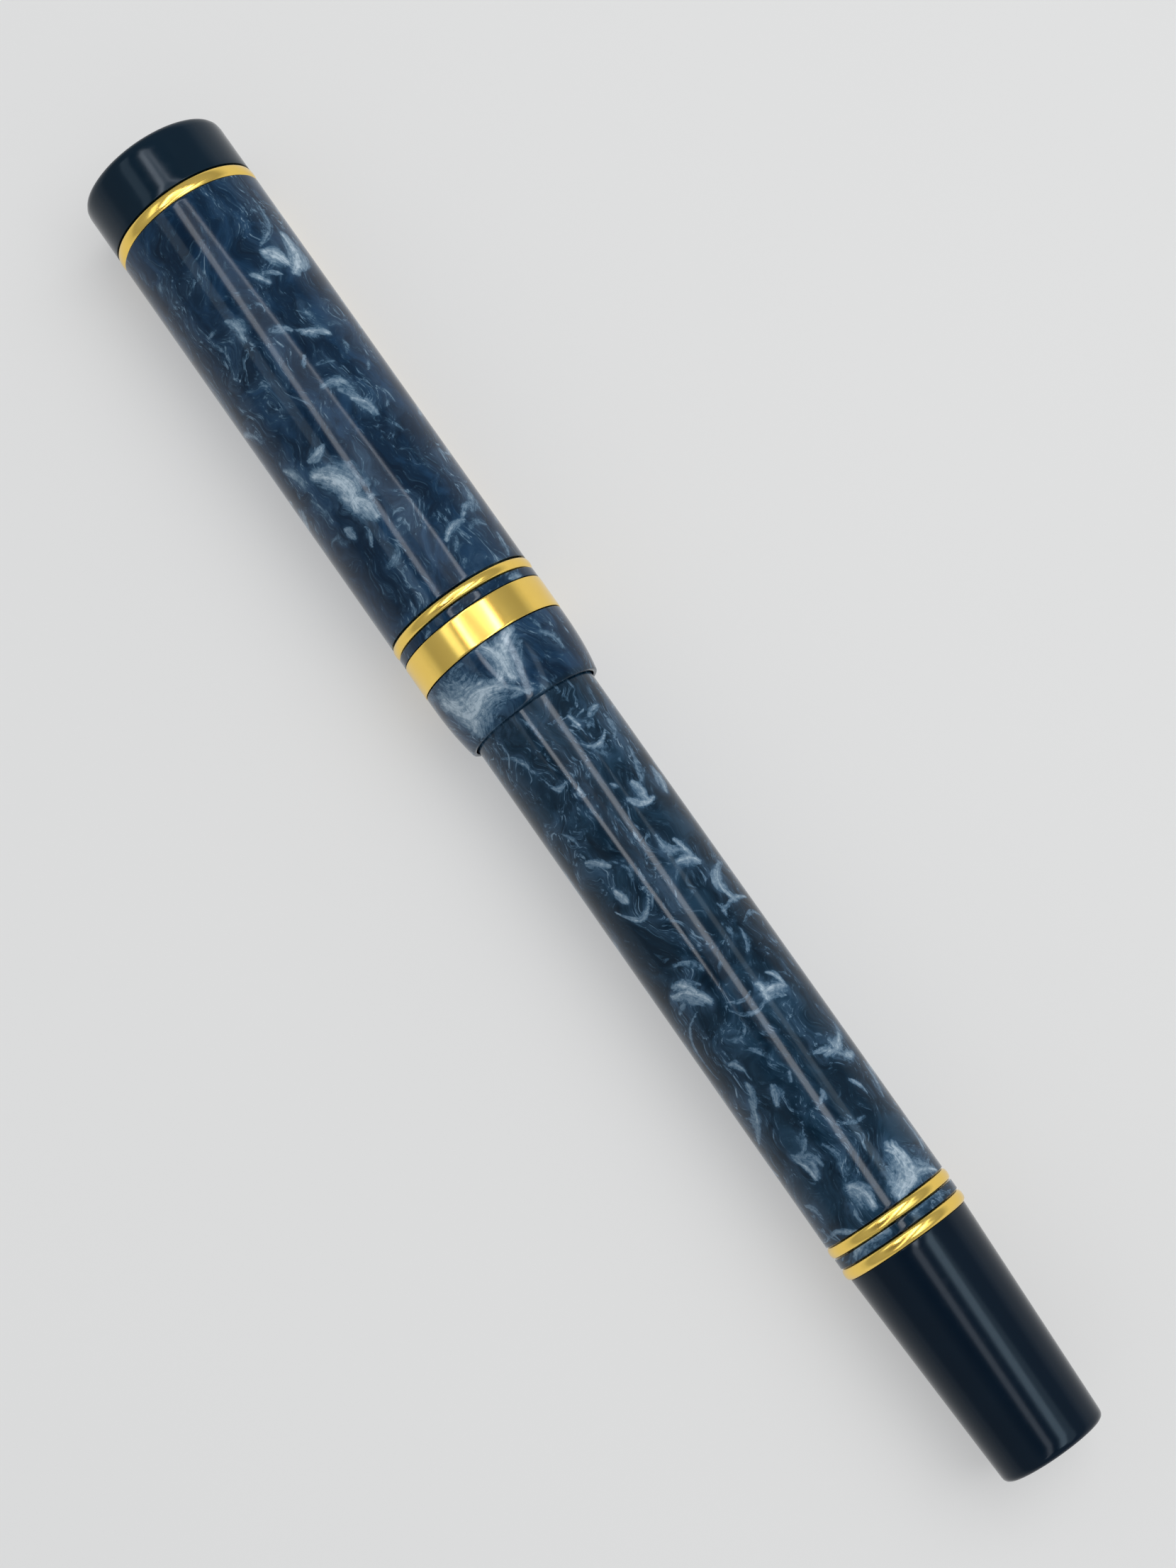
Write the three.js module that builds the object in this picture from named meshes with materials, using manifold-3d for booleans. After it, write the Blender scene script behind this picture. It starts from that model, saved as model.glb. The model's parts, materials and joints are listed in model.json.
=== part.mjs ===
// A fountain pen with a screw cap, a resin barrel, a nib unit and a screw-piston converter.
// It lies capped along X with the cap's crown at +X. Millimetres, +Z up. The origin is on the
// surface the pen lies on, under the middle of its length.
// A station is a distance along the pen's axis, measured from the crown's end face.

import * as THREE from 'three';
import { mergeVertices } from 'three/addons/utils/BufferGeometryUtils.js';
import Module from 'manifold-3d';

const wasm = await Module();
wasm.setup();

// ---- Driving dimensions -------------------------------------------------------------------

const PEN_LENGTH = 136;
const OUTER_SEGMENTS = 36;
const INNER_SEGMENTS = 24;
const FINE_SEGMENTS = 16;
const CLEARANCE = 0.1;

// Cap: the crown, the clip's collar, the tube, two bands with a spacer, and the lip.
const CROWN_BACK = 5.55;
const COLLAR_BACK = 6.78;
const NARROW_BAND_FRONT = 48.8;
const NARROW_BAND_BACK = 49.93;
const WIDE_BAND_FRONT = 50.88;
const WIDE_BAND_BACK = 54.11;
const CAP_MOUTH = 60.46;
const CROWN_RADIUS = 7.06;
const CROWN_EDGE = 0.9;
const CAP_FRONT_RADIUS = 7.08;
const CAP_BACK_RADIUS = 7.03;
const TRIM_EDGE_RADIUS = 7.04;
const TRIM_RADIUS = 7.12;
const WIDE_BAND_RADIUS = 7.06;
const LIP_RADIUS = 7.02;
const LIP_FALL = 0.53;
const LIP_FALL_POWER = 2.5;
const LIP_BORE = 6.12;
const TENON_RADIUS = 6.4;
const TENON_END = 57.5;
const SPIGOT_RADIUS = 4.2;
const SPIGOT_END = 10.9;
const CAP_HEAD_END = 8;
const CAP_BORE = 5.95;

// Inner cap: a liner that seals over the nib.
const INNER_CAP_FRONT = 8.2;
const INNER_CAP_SOCKET_END = 11.2;
const INNER_CAP_FLOOR = 12.2;
const INNER_CAP_RIM = 36.7;
const INNER_CAP_RADIUS = 5.8;
const INNER_CAP_BORE = 4.1;

// Cap thread, on the barrel's front end and inside the cap's tenon.
const CAP_THREAD_FRONT = 52.2;
const CAP_THREAD_BACK = 57;
const CAP_THREAD_RIDGES = 4;
const CAP_THREAD_DEPTH = 0.28;
const CAP_THREAD_CREST = 5.5;

// Clip: an arm with a ball end. It lies below the cap, turned aside so that its ball and the
// cap's trim touch the surface together.
const CLIP_BALL_STATION = 43.5;
const CLIP_BALL_RADIUS = 1.05;
const CLIP_GAP = 0.12;
const CLIP_ROOT = 7;
const CLIP_INNER_RADIUS = 7.35;
const CLIP_THICKNESS = 0.75;
const CLIP_BOW = 0.18;
const CLIP_ROOT_WIDTH = 3.1;
const CLIP_TIP_WIDTH = 1.9;
const CLIP_LUG_FRONT = 5.68;
const CLIP_LUG_BACK = 6.72;

// Barrel: the tube, two rings with a spacer, and the tail.
const BARREL_FRONT = 51.7;
const BARREL_SHOULDER = 57.6;
const UPPER_RING_FRONT = 111.9;
const UPPER_RING_BACK = 113.04;
const LOWER_RING_FRONT = 114.03;
const LOWER_RING_BACK = 115.19;
const BARREL_RADIUS = 5.94;
const RING_EDGE_RADIUS = 5.97;
const RING_RADIUS = 6.04;
const BARREL_BORE = 4.1;
const BUSH_BACK = 59.5;
const BUSH_RADIUS = 4.6;
const TAIL_FRONT_RADIUS = 5.76;
const TAIL_BACK_RADIUS = 4.93;
const TAIL_EDGE = 0.8;
const TAIL_SPIGOT_FRONT = 106.5;
const TAIL_SPIGOT_RADIUS = 4.6;
const TAIL_WIDE_BORE = 3.95;
const TAIL_WIDE_BORE_END = 117;
const TAIL_BORE = 3.6;
const TAIL_BORE_END = 130.5;

// Section: the grip, and the connector whose thread the barrel screws onto.
const GRIP_FRONT = 37;
const GRIP_BACK = 51.4;
const GRIP_BORE = 3.45;
const GRIP_OUTLINE = [
  [GRIP_FRONT, 4.45],
  [37.35, 4.7],
  [38.2, 4.78],
  [39.4, 4.6],
  [41.5, 4.42],
  [45, 4.6],
  [48.5, 4.95],
  [GRIP_BACK, 5.2],
];
const CONNECTOR_FRONT = 47.6;
const CONNECTOR_THREAD_FRONT = 52;
const CONNECTOR_BACK = 59;
const CONNECTOR_RADIUS = 3.9;
const CONNECTOR_CREST = 4.1;
const CONNECTOR_RIDGES = 5;

// Nib unit: the housing with its nipple, the feed, the nib and its tipping.
const HOUSING_FRONT = 37.4;
const HOUSING_FLOOR = 52;
const HOUSING_BACK = 53.4;
const HOUSING_RADIUS = 3.35;
const HOUSING_BORE = 2.95;
const NIPPLE_BACK = 58.4;
const NIPPLE_RADIUS = 1.25;
const NIPPLE_BORE = 0.6;
const NIB_TIP = 14.5;
const NIB_LENGTH = 32;
const NIB_THICKNESS = 0.3;
const NIB_BASE_RADIUS = 2.85;
const NIB_TIP_CURVE = 4.4;
const NIB_TIP_HEIGHT = 0.45;
const NIB_BEND_LENGTH = 20;
const NIB_SHOULDER = 15;
const NIB_SHOULDER_WIDTH = 3.35;
const NIB_BASE_WIDTH = 2.95;
const NIB_POINT_WIDTH = 0.4;
const NIB_SWELL_POWER = 1.35;
const TIPPING_RADIUS = 0.45;
const BREATHER_DISTANCE = 12.5;
const BREATHER_RADIUS = 0.65;
const SLIT_WIDTH = 0.15;
const FEED_FRONT = 22;
const FEED_BACK = 51.5;
const FEED_RADIUS = 2.42;
const FEED_NOSE_LENGTH = 12;
const FEED_NOSE_HEIGHT = 1;
const FEED_NOSE_HALF_WIDTH = 0.9;
const FEED_NOSE_GAP = 0.25;
const FEED_SLOTS = 6;
const FEED_SLOT_PITCH = 1.5;
const FEED_SLOT_WIDTH = 0.5;
const FEED_SLOT_START = 25.5;

// Converter: the mouth, the clear tube, the collar, the screw rod with its piston, and the
// knob with its nut.
const CONVERTER_FRONT = 53.8;
const CONVERTER_RADIUS = 3.25;
const MOUTH_BACK = 61;
const MOUTH_PLUG_BACK = 63.5;
const MOUTH_SOCKET = 1.35;
const MOUTH_SOCKET_BACK = 59.5;
const MOUTH_CHANNEL = 0.8;
const TUBE_BACK = 93;
const TUBE_BORE = 2.85;
const SLEEVE_FRONT = 88;
const SLEEVE_BACK = 108.4;
const SLEEVE_RADIUS = 3.7;
const NUT_BACK = 96.4;
const ROD_RADIUS = 1.15;
const ROD_CORE = 0.95;
const ROD_BACK = 96.6;
const ROD_RIDGES = 9;
const PISTON_FRONT = 64;
const PISTON_BACK = 69;
const PISTON_WAIST = 2.3;
const KNOB_BACK = 122.3;
const KNOB_RADIUS = 3.3;
const KNOB_BORE = 1.5;
const KNOB_BORE_END = 121;
const KNOB_EDGE = 0.5;

// ---- Materials ----------------------------------------------------------------------------

const finish = (color, roughness, metalness) => () =>
  new THREE.MeshStandardMaterial({ color, roughness, metalness });
const blackResin = finish(0x10161e, 0.12, 0);
const marbledResin = finish(0x4a5f7d, 0.15, 0.1);
const goldTrim = finish(0xd9aa3c, 0.18, 1);
const nibGold = finish(0xd8b45a, 0.22, 1);
const tippingMetal = finish(0xc9ccd0, 0.2, 1);
const brass = finish(0xb38a3a, 0.35, 1);
const darkPlastic = finish(0x17181b, 0.5, 0);
const clearPlastic = finish(0xdfe6ea, 0.05, 0);
const chrome = finish(0xc4c7cb, 0.12, 1);
const sealRubber = finish(0x2a2b2e, 0.7, 0);

// ---- Shape helpers ------------------------------------------------------------------------

const xAt = (station) => PEN_LENGTH / 2 - station;

// A solid of revolution about X. Its outline is [station, radius] pairs, along the outside from
// the crown's side to the tail's and then back along the inside. An outline that starts on the
// axis ends there too, and any other closes on itself.
function revolve(outline, segments) {
  const points = outline.map(([station, radius]) => new THREE.Vector2(radius, xAt(station)));
  if (outline[0][1] > 0) points.push(points[0].clone());
  points.reverse();
  const geometry = new THREE.LatheGeometry(points, segments);
  geometry.rotateZ(-Math.PI / 2);
  return geometry;
}

// Ridges between two stations: the outline goes from root to crest and back for each ridge.
function ridges(from, to, count, root, crest) {
  const pitch = (to - from) / count;
  const points = [];
  for (let i = 0; i < count; i += 1) {
    points.push([from + i * pitch, root]);
    points.push([from + (i + 0.5) * pitch, crest]);
  }
  points.push([to, root]);
  return points;
}

// A ring with a bore. Its outside rises from the edge radius to the crest in the middle.
function ring(front, back, edge, crest, bore) {
  const from = front + CLEARANCE / 2;
  const to = back - CLEARANCE / 2;
  const shoulder = (to - from) / 4;
  return revolve([
    [from, edge],
    [from + shoulder, crest],
    [to - shoulder, crest],
    [to, edge],
    [to, bore],
    [from, bore],
  ], OUTER_SEGMENTS);
}

// A rounded edge between the face nearest the crown and the side.
function frontEdge(face, side, size, steps) {
  const points = [];
  for (let i = 0; i <= steps; i += 1) {
    const angle = (i / steps) * (Math.PI / 2);
    points.push([face + size * (1 - Math.cos(angle)), side - size * (1 - Math.sin(angle))]);
  }
  return points;
}

// The same edge at the end nearest the tail.
function backEdge(face, side, size, steps) {
  return frontEdge(0, side, size, steps).reverse().map(([depth, radius]) => [face - depth, radius]);
}

function toSolid(geometry) {
  const bare = geometry.clone();
  bare.deleteAttribute('normal');
  bare.deleteAttribute('uv');
  const merged = mergeVertices(bare);
  return new wasm.Manifold(new wasm.Mesh({
    numProp: 3,
    vertProperties: new Float32Array(merged.attributes.position.array),
    triVerts: new Uint32Array(merged.index.array),
  }));
}

function toGeometry(solid) {
  const mesh = solid.getMesh();
  const geometry = new THREE.BufferGeometry();
  geometry.setAttribute('position', new THREE.BufferAttribute(mesh.vertProperties, 3));
  geometry.setIndex(new THREE.BufferAttribute(mesh.triVerts, 1));
  geometry.computeVertexNormals();
  return geometry;
}

// Moves every vertex of a geometry to where the rule puts it.
function reshape(geometry, rule) {
  const position = geometry.attributes.position;
  for (let i = 0; i < position.count; i += 1) {
    position.setXYZ(i, ...rule(position.getX(i), position.getY(i), position.getZ(i)));
  }
  return geometry;
}

function boxBetween(low, high) {
  const size = high.map((value, i) => value - low[i]);
  const centre = high.map((value, i) => (value + low[i]) / 2);
  return new THREE.BoxGeometry(...size).translate(...centre);
}

const mix = (from, to, amount) => from + (to - from) * amount;
const smooth = (amount) => THREE.MathUtils.smoothstep(amount, 0, 1);

// ---- Cap ----------------------------------------------------------------------------------

// The crown, with the spigot that goes through the collar and screws into the inner cap.
function capCrown() {
  const back = CROWN_BACK - CLEARANCE / 2;
  return revolve([
    [0, 0],
    ...frontEdge(0, CROWN_RADIUS, CROWN_EDGE, 3),
    [back, CROWN_RADIUS],
    [back, SPIGOT_RADIUS],
    [SPIGOT_END, SPIGOT_RADIUS],
    [SPIGOT_END, 0],
  ], OUTER_SEGMENTS);
}

// The collar under the crown, with the lug that carries the clip. The lug points along +Z.
function clipCollar() {
  const collar = ring(CROWN_BACK, COLLAR_BACK, TRIM_EDGE_RADIUS, TRIM_RADIUS, SPIGOT_RADIUS + CLEARANCE);
  const lug = boxBetween(
    [xAt(CLIP_LUG_BACK), -CLIP_ROOT_WIDTH / 2, TENON_RADIUS],
    [xAt(CLIP_LUG_FRONT), CLIP_ROOT_WIDTH / 2, CLIP_INNER_RADIUS + CLIP_THICKNESS],
  );
  return toGeometry(toSolid(collar).add(toSolid(lug)));
}

// The clip's arm, with its ball end. It lies along the cap on its +Z side.
function clipArm() {
  const length = CLIP_BALL_STATION - CLIP_ROOT;
  const ballHeight = CAP_FRONT_RADIUS + CLIP_GAP + CLIP_BALL_RADIUS;
  const bar = reshape(new THREE.BoxGeometry(1, 1, 1, 8, 1, 1), (x, y, z) => {
    const along = 0.5 - x;
    const width = mix(CLIP_ROOT_WIDTH, CLIP_TIP_WIDTH, along);
    const height = CLIP_INNER_RADIUS + CLIP_BOW * Math.sin(Math.PI * along) + CLIP_THICKNESS * (z + 0.5);
    return [xAt(CLIP_ROOT) - along * length, y * width, height];
  });
  const ball = new THREE.SphereGeometry(CLIP_BALL_RADIUS, FINE_SEGMENTS, FINE_SEGMENTS / 2);
  ball.translate(xAt(CLIP_BALL_STATION), 0, ballHeight);
  return toGeometry(toSolid(bar).add(toSolid(ball)));
}

// The cap's tube. Its tenon takes the bands and the lip, and has the female thread inside.
function capTube() {
  const front = COLLAR_BACK + CLEARANCE / 2;
  const band = NARROW_BAND_FRONT - CLEARANCE / 2;
  const crest = CAP_THREAD_CREST + CLEARANCE;
  const root = crest + CAP_THREAD_DEPTH;
  return revolve([
    [front, CAP_FRONT_RADIUS],
    [band, CAP_BACK_RADIUS],
    [band, TENON_RADIUS],
    [TENON_END, TENON_RADIUS],
    [TENON_END, CAP_BORE],
    ...ridges(CAP_THREAD_FRONT, CAP_THREAD_BACK, CAP_THREAD_RIDGES, root, crest).reverse(),
    [CAP_THREAD_FRONT, CAP_BORE],
    [CAP_HEAD_END, CAP_BORE],
    [CAP_HEAD_END, SPIGOT_RADIUS + CLEARANCE],
    [front, SPIGOT_RADIUS + CLEARANCE],
  ], OUTER_SEGMENTS);
}

function capBandNarrow() {
  return ring(NARROW_BAND_FRONT, NARROW_BAND_BACK, TRIM_EDGE_RADIUS, TRIM_RADIUS, TENON_RADIUS + CLEARANCE);
}

function capSpacer() {
  return ring(NARROW_BAND_BACK, WIDE_BAND_FRONT, CAP_BACK_RADIUS, CAP_BACK_RADIUS, TENON_RADIUS + CLEARANCE);
}

function capBandWide() {
  return ring(WIDE_BAND_FRONT, WIDE_BAND_BACK, TRIM_EDGE_RADIUS, WIDE_BAND_RADIUS, TENON_RADIUS + CLEARANCE);
}

// The lip screws onto the tenon and falls in a curve to the cap's mouth.
function capLip() {
  const front = WIDE_BAND_BACK + CLEARANCE / 2;
  const steps = 4;
  const outside = [];
  for (let i = 0; i <= steps; i += 1) {
    const along = i / steps;
    outside.push([mix(front, CAP_MOUTH, along), LIP_RADIUS - LIP_FALL * along ** LIP_FALL_POWER]);
  }
  const step = TENON_END + CLEARANCE;
  return revolve([
    ...outside,
    [CAP_MOUTH, LIP_BORE],
    [step, LIP_BORE],
    [step, TENON_RADIUS + CLEARANCE],
    [front, TENON_RADIUS + CLEARANCE],
  ], OUTER_SEGMENTS);
}

function innerCap() {
  return revolve([
    [INNER_CAP_FRONT, INNER_CAP_RADIUS],
    [INNER_CAP_RIM, INNER_CAP_RADIUS],
    [INNER_CAP_RIM, INNER_CAP_BORE],
    [INNER_CAP_FLOOR, INNER_CAP_BORE],
    [INNER_CAP_FLOOR, 0],
    [INNER_CAP_SOCKET_END, 0],
    [INNER_CAP_SOCKET_END, SPIGOT_RADIUS + CLEARANCE],
    [INNER_CAP_FRONT, SPIGOT_RADIUS + CLEARANCE],
  ], OUTER_SEGMENTS);
}

// ---- Barrel -------------------------------------------------------------------------------

function barrelTube() {
  const root = CAP_THREAD_CREST - CAP_THREAD_DEPTH;
  const back = UPPER_RING_FRONT - CLEARANCE / 2;
  return revolve([
    [BARREL_FRONT, root],
    ...ridges(CAP_THREAD_FRONT, CAP_THREAD_BACK, CAP_THREAD_RIDGES, root, CAP_THREAD_CREST),
    [BARREL_SHOULDER, root],
    [BARREL_SHOULDER, BARREL_RADIUS],
    [back, BARREL_RADIUS],
    [back, TAIL_SPIGOT_RADIUS + CLEARANCE],
    [TAIL_SPIGOT_FRONT - CLEARANCE, TAIL_SPIGOT_RADIUS + CLEARANCE],
    [TAIL_SPIGOT_FRONT - CLEARANCE, BARREL_BORE],
    [BUSH_BACK + CLEARANCE, BARREL_BORE],
    [BUSH_BACK + CLEARANCE, BUSH_RADIUS + CLEARANCE],
    [BARREL_FRONT, BUSH_RADIUS + CLEARANCE],
  ], OUTER_SEGMENTS);
}

// The threaded bush inside the barrel's front end.
function barrelBush() {
  const crest = CONNECTOR_CREST + CLEARANCE;
  const root = crest + CONNECTOR_CREST - CONNECTOR_RADIUS;
  const front = BARREL_FRONT + CLEARANCE;
  return revolve([
    [front, BUSH_RADIUS],
    [BUSH_BACK, BUSH_RADIUS],
    ...ridges(front, BUSH_BACK, CONNECTOR_RIDGES, root, crest).reverse(),
  ], OUTER_SEGMENTS);
}

function barrelRing(front, back) {
  return ring(front, back, RING_EDGE_RADIUS, RING_RADIUS, TAIL_SPIGOT_RADIUS + CLEARANCE);
}

function barrelSpacer() {
  return ring(
    UPPER_RING_BACK, LOWER_RING_FRONT, BARREL_RADIUS, BARREL_RADIUS, TAIL_SPIGOT_RADIUS + CLEARANCE,
  );
}

// The tapered tail. Its hollow spigot carries the rings and goes into the barrel.
function tailCap() {
  return revolve([
    [TAIL_SPIGOT_FRONT, TAIL_SPIGOT_RADIUS],
    [LOWER_RING_BACK, TAIL_SPIGOT_RADIUS],
    [LOWER_RING_BACK, TAIL_FRONT_RADIUS],
    ...backEdge(PEN_LENGTH, TAIL_BACK_RADIUS, TAIL_EDGE, 3),
    [PEN_LENGTH, 0],
    [TAIL_BORE_END, 0],
    [TAIL_BORE_END, TAIL_BORE],
    [TAIL_WIDE_BORE_END, TAIL_BORE],
    [TAIL_WIDE_BORE_END, TAIL_WIDE_BORE],
    [TAIL_SPIGOT_FRONT, TAIL_WIDE_BORE],
  ], OUTER_SEGMENTS);
}

// ---- Section and nib unit -----------------------------------------------------------------

// The grip flares at the front, narrows to a waist and widens to meet the barrel.
function gripSection() {
  return revolve([
    [GRIP_FRONT, GRIP_BORE],
    ...GRIP_OUTLINE,
    [GRIP_BACK, CONNECTOR_RADIUS + CLEARANCE],
    [CONNECTOR_FRONT - CLEARANCE, CONNECTOR_RADIUS + CLEARANCE],
    [CONNECTOR_FRONT - CLEARANCE, GRIP_BORE],
  ], INNER_SEGMENTS);
}

function sectionConnector() {
  return revolve([
    [CONNECTOR_FRONT, CONNECTOR_RADIUS],
    ...ridges(
      CONNECTOR_THREAD_FRONT, CONNECTOR_BACK, CONNECTOR_RIDGES, CONNECTOR_RADIUS, CONNECTOR_CREST,
    ),
    [CONNECTOR_BACK, GRIP_BORE],
    [CONNECTOR_FRONT, GRIP_BORE],
  ], INNER_SEGMENTS);
}

// The housing holds the nib and feed. Its rear nipple enters the converter's mouth.
function nibHousing() {
  return revolve([
    [HOUSING_FRONT, HOUSING_RADIUS],
    [HOUSING_BACK, HOUSING_RADIUS],
    [HOUSING_BACK, NIPPLE_RADIUS],
    [NIPPLE_BACK, NIPPLE_RADIUS],
    [NIPPLE_BACK, NIPPLE_BORE],
    [HOUSING_FLOOR, NIPPLE_BORE],
    [HOUSING_FLOOR, HOUSING_BORE],
    [HOUSING_FRONT, HOUSING_BORE],
  ], INNER_SEGMENTS);
}

// Height of the nib's ridge line above the pen's axis, at a distance behind its tip.
function nibRidge(distance) {
  const amount = Math.min(distance / NIB_BEND_LENGTH, 1);
  return mix(NIB_TIP_HEIGHT, NIB_BASE_RADIUS, Math.sin(amount * (Math.PI / 2)));
}

// Radius of the nib's cross-section: flatter at the tip than at the base.
function nibCurve(distance) {
  return mix(NIB_TIP_CURVE, NIB_BASE_RADIUS, smooth(Math.min(distance / NIB_BEND_LENGTH, 1)));
}

// Half of the nib's width, measured round its curve. It swells from the point to the shoulders.
function nibHalfWidth(distance) {
  if (distance < NIB_SHOULDER) {
    const amount = distance / NIB_SHOULDER;
    const swell = Math.sin(amount * (Math.PI / 2)) ** NIB_SWELL_POWER;
    return mix(NIB_POINT_WIDTH, NIB_SHOULDER_WIDTH, swell);
  }
  const amount = Math.min((distance - NIB_SHOULDER) / (NIB_BEND_LENGTH - NIB_SHOULDER), 1);
  return mix(NIB_SHOULDER_WIDTH, NIB_BASE_WIDTH, smooth(amount));
}

// The nib is a curved sheet with a breather hole and a slit from the hole to the tip.
function nib() {
  const front = 2 * TIPPING_RADIUS + CLEARANCE;
  const sheet = reshape(new THREE.BoxGeometry(1, 1, 1, 18, 6, 1), (x, y, z) => {
    const distance = mix(front, NIB_LENGTH, 0.5 - x);
    const curve = nibCurve(distance);
    const angle = (y * 2 * nibHalfWidth(distance)) / curve;
    const radius = curve - NIB_THICKNESS * (0.5 - z);
    const centre = nibRidge(distance) - curve;
    return [xAt(NIB_TIP + distance), radius * Math.sin(angle), centre + radius * Math.cos(angle)];
  });
  const drill = 4 * NIB_BASE_RADIUS;
  const hole = new THREE.CylinderGeometry(BREATHER_RADIUS, BREATHER_RADIUS, drill, FINE_SEGMENTS);
  hole.rotateX(Math.PI / 2);
  hole.translate(xAt(NIB_TIP + BREATHER_DISTANCE), 0, 0);
  const slit = boxBetween(
    [xAt(NIB_TIP + BREATHER_DISTANCE), -SLIT_WIDTH / 2, -NIB_BASE_RADIUS],
    [xAt(NIB_TIP), SLIT_WIDTH / 2, 2 * NIB_BASE_RADIUS],
  );
  return toGeometry(toSolid(sheet).subtract(toSolid(hole)).subtract(toSolid(slit)));
}

function nibTipping() {
  const ball = new THREE.SphereGeometry(TIPPING_RADIUS, FINE_SEGMENTS, FINE_SEGMENTS / 2);
  return ball.translate(xAt(NIB_TIP + TIPPING_RADIUS), 0, NIB_TIP_HEIGHT - NIB_THICKNESS);
}

// The feed fills the nib's underside: round in the housing, tapering to a nose at the front,
// with comb slots across its lower side.
function feed() {
  const length = FEED_BACK - FEED_FRONT;
  const core = new THREE.CylinderGeometry(1, 1, 1, FINE_SEGMENTS, 14).rotateZ(-Math.PI / 2);
  const body = reshape(core, (x, y, z) => {
    const station = FEED_FRONT + (0.5 - x) * length;
    const amount = smooth(Math.min((station - FEED_FRONT) / FEED_NOSE_LENGTH, 1));
    const gap = mix(FEED_NOSE_GAP, CLEARANCE, amount);
    const top = Math.min(nibRidge(station - NIB_TIP) - NIB_THICKNESS - gap, FEED_RADIUS);
    const bottom = mix(top - FEED_NOSE_HEIGHT, -FEED_RADIUS, amount);
    const halfWidth = mix(FEED_NOSE_HALF_WIDTH, FEED_RADIUS, amount);
    return [xAt(station), y * halfWidth, mix(bottom, top, (z + 1) / 2)];
  });
  let comb = toSolid(body);
  for (let i = 0; i < FEED_SLOTS; i += 1) {
    const start = FEED_SLOT_START + i * FEED_SLOT_PITCH;
    comb = comb.subtract(toSolid(boxBetween(
      [xAt(start + FEED_SLOT_WIDTH), -2 * FEED_RADIUS, -2 * FEED_RADIUS],
      [xAt(start), 2 * FEED_RADIUS, -FEED_RADIUS / 4],
    )));
  }
  return toGeometry(comb);
}

// ---- Converter ----------------------------------------------------------------------------

// The mouth pushes over the nipple, and its plug goes into the clear tube.
function converterMouth() {
  return revolve([
    [CONVERTER_FRONT, CONVERTER_RADIUS],
    [MOUTH_BACK, CONVERTER_RADIUS],
    [MOUTH_BACK, TUBE_BORE - CLEARANCE],
    [MOUTH_PLUG_BACK, TUBE_BORE - CLEARANCE],
    [MOUTH_PLUG_BACK, MOUTH_CHANNEL],
    [MOUTH_SOCKET_BACK, MOUTH_CHANNEL],
    [MOUTH_SOCKET_BACK, MOUTH_SOCKET],
    [CONVERTER_FRONT, MOUTH_SOCKET],
  ], INNER_SEGMENTS);
}

function converterTube() {
  return revolve([
    [MOUTH_BACK + CLEARANCE, CONVERTER_RADIUS],
    [TUBE_BACK, CONVERTER_RADIUS],
    [TUBE_BACK, TUBE_BORE],
    [MOUTH_BACK + CLEARANCE, TUBE_BORE],
  ], INNER_SEGMENTS);
}

function converterSleeve() {
  return revolve([
    [SLEEVE_FRONT, SLEEVE_RADIUS],
    [SLEEVE_BACK, SLEEVE_RADIUS],
    [SLEEVE_BACK, CONVERTER_RADIUS + CLEARANCE],
    [SLEEVE_FRONT, CONVERTER_RADIUS + CLEARANCE],
  ], INNER_SEGMENTS);
}

function converterNut() {
  return revolve([
    [TUBE_BACK + CLEARANCE, CONVERTER_RADIUS],
    [NUT_BACK, CONVERTER_RADIUS],
    [NUT_BACK, ROD_RADIUS + CLEARANCE],
    [TUBE_BACK + CLEARANCE, ROD_RADIUS + CLEARANCE],
  ], INNER_SEGMENTS);
}

function converterRod() {
  return revolve([
    [PISTON_BACK + CLEARANCE, 0],
    ...ridges(PISTON_BACK + CLEARANCE, ROD_BACK, ROD_RIDGES, ROD_CORE, ROD_RADIUS),
    [ROD_BACK, 0],
  ], FINE_SEGMENTS);
}

// The piston: two sealing lips round a waist.
function converterPiston() {
  const lip = (PISTON_BACK - PISTON_FRONT) / 4;
  const seal = TUBE_BORE - CLEARANCE;
  return revolve([
    [PISTON_FRONT, 0],
    [PISTON_FRONT, seal],
    [PISTON_FRONT + lip, seal],
    [PISTON_FRONT + lip, PISTON_WAIST],
    [PISTON_BACK - lip, PISTON_WAIST],
    [PISTON_BACK - lip, seal],
    [PISTON_BACK, seal],
    [PISTON_BACK, 0],
  ], INNER_SEGMENTS);
}

// The knob's stem turns inside the sleeve, and its bore takes the rod as the piston draws back.
function converterKnob() {
  return revolve([
    [NUT_BACK + CLEARANCE, CONVERTER_RADIUS],
    [SLEEVE_BACK, CONVERTER_RADIUS],
    ...backEdge(KNOB_BACK, KNOB_RADIUS, KNOB_EDGE, 2),
    [KNOB_BACK, 0],
    [KNOB_BORE_END, 0],
    [KNOB_BORE_END, KNOB_BORE],
    [NUT_BACK + CLEARANCE, KNOB_BORE],
  ], INNER_SEGMENTS);
}

// ---- Assembly -----------------------------------------------------------------------------

function piece(name, geometry, material) {
  const mesh = new THREE.Mesh(geometry, material());
  mesh.name = name;
  return mesh;
}

function assembly(...pieces) {
  const group = new THREE.Group();
  group.add(...pieces);
  return group;
}

// The clip's side is turned from the top until its ball is as low as the cap's trim.
function clipTurn() {
  const ballHeight = CAP_FRONT_RADIUS + CLIP_GAP + CLIP_BALL_RADIUS;
  return Math.PI - Math.acos((TRIM_RADIUS - CLIP_BALL_RADIUS) / ballHeight);
}

const clip = assembly(
  piece('clip_collar', clipCollar(), goldTrim),
  piece('clip_arm', clipArm(), goldTrim),
);
clip.rotation.x = clipTurn();

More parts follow.
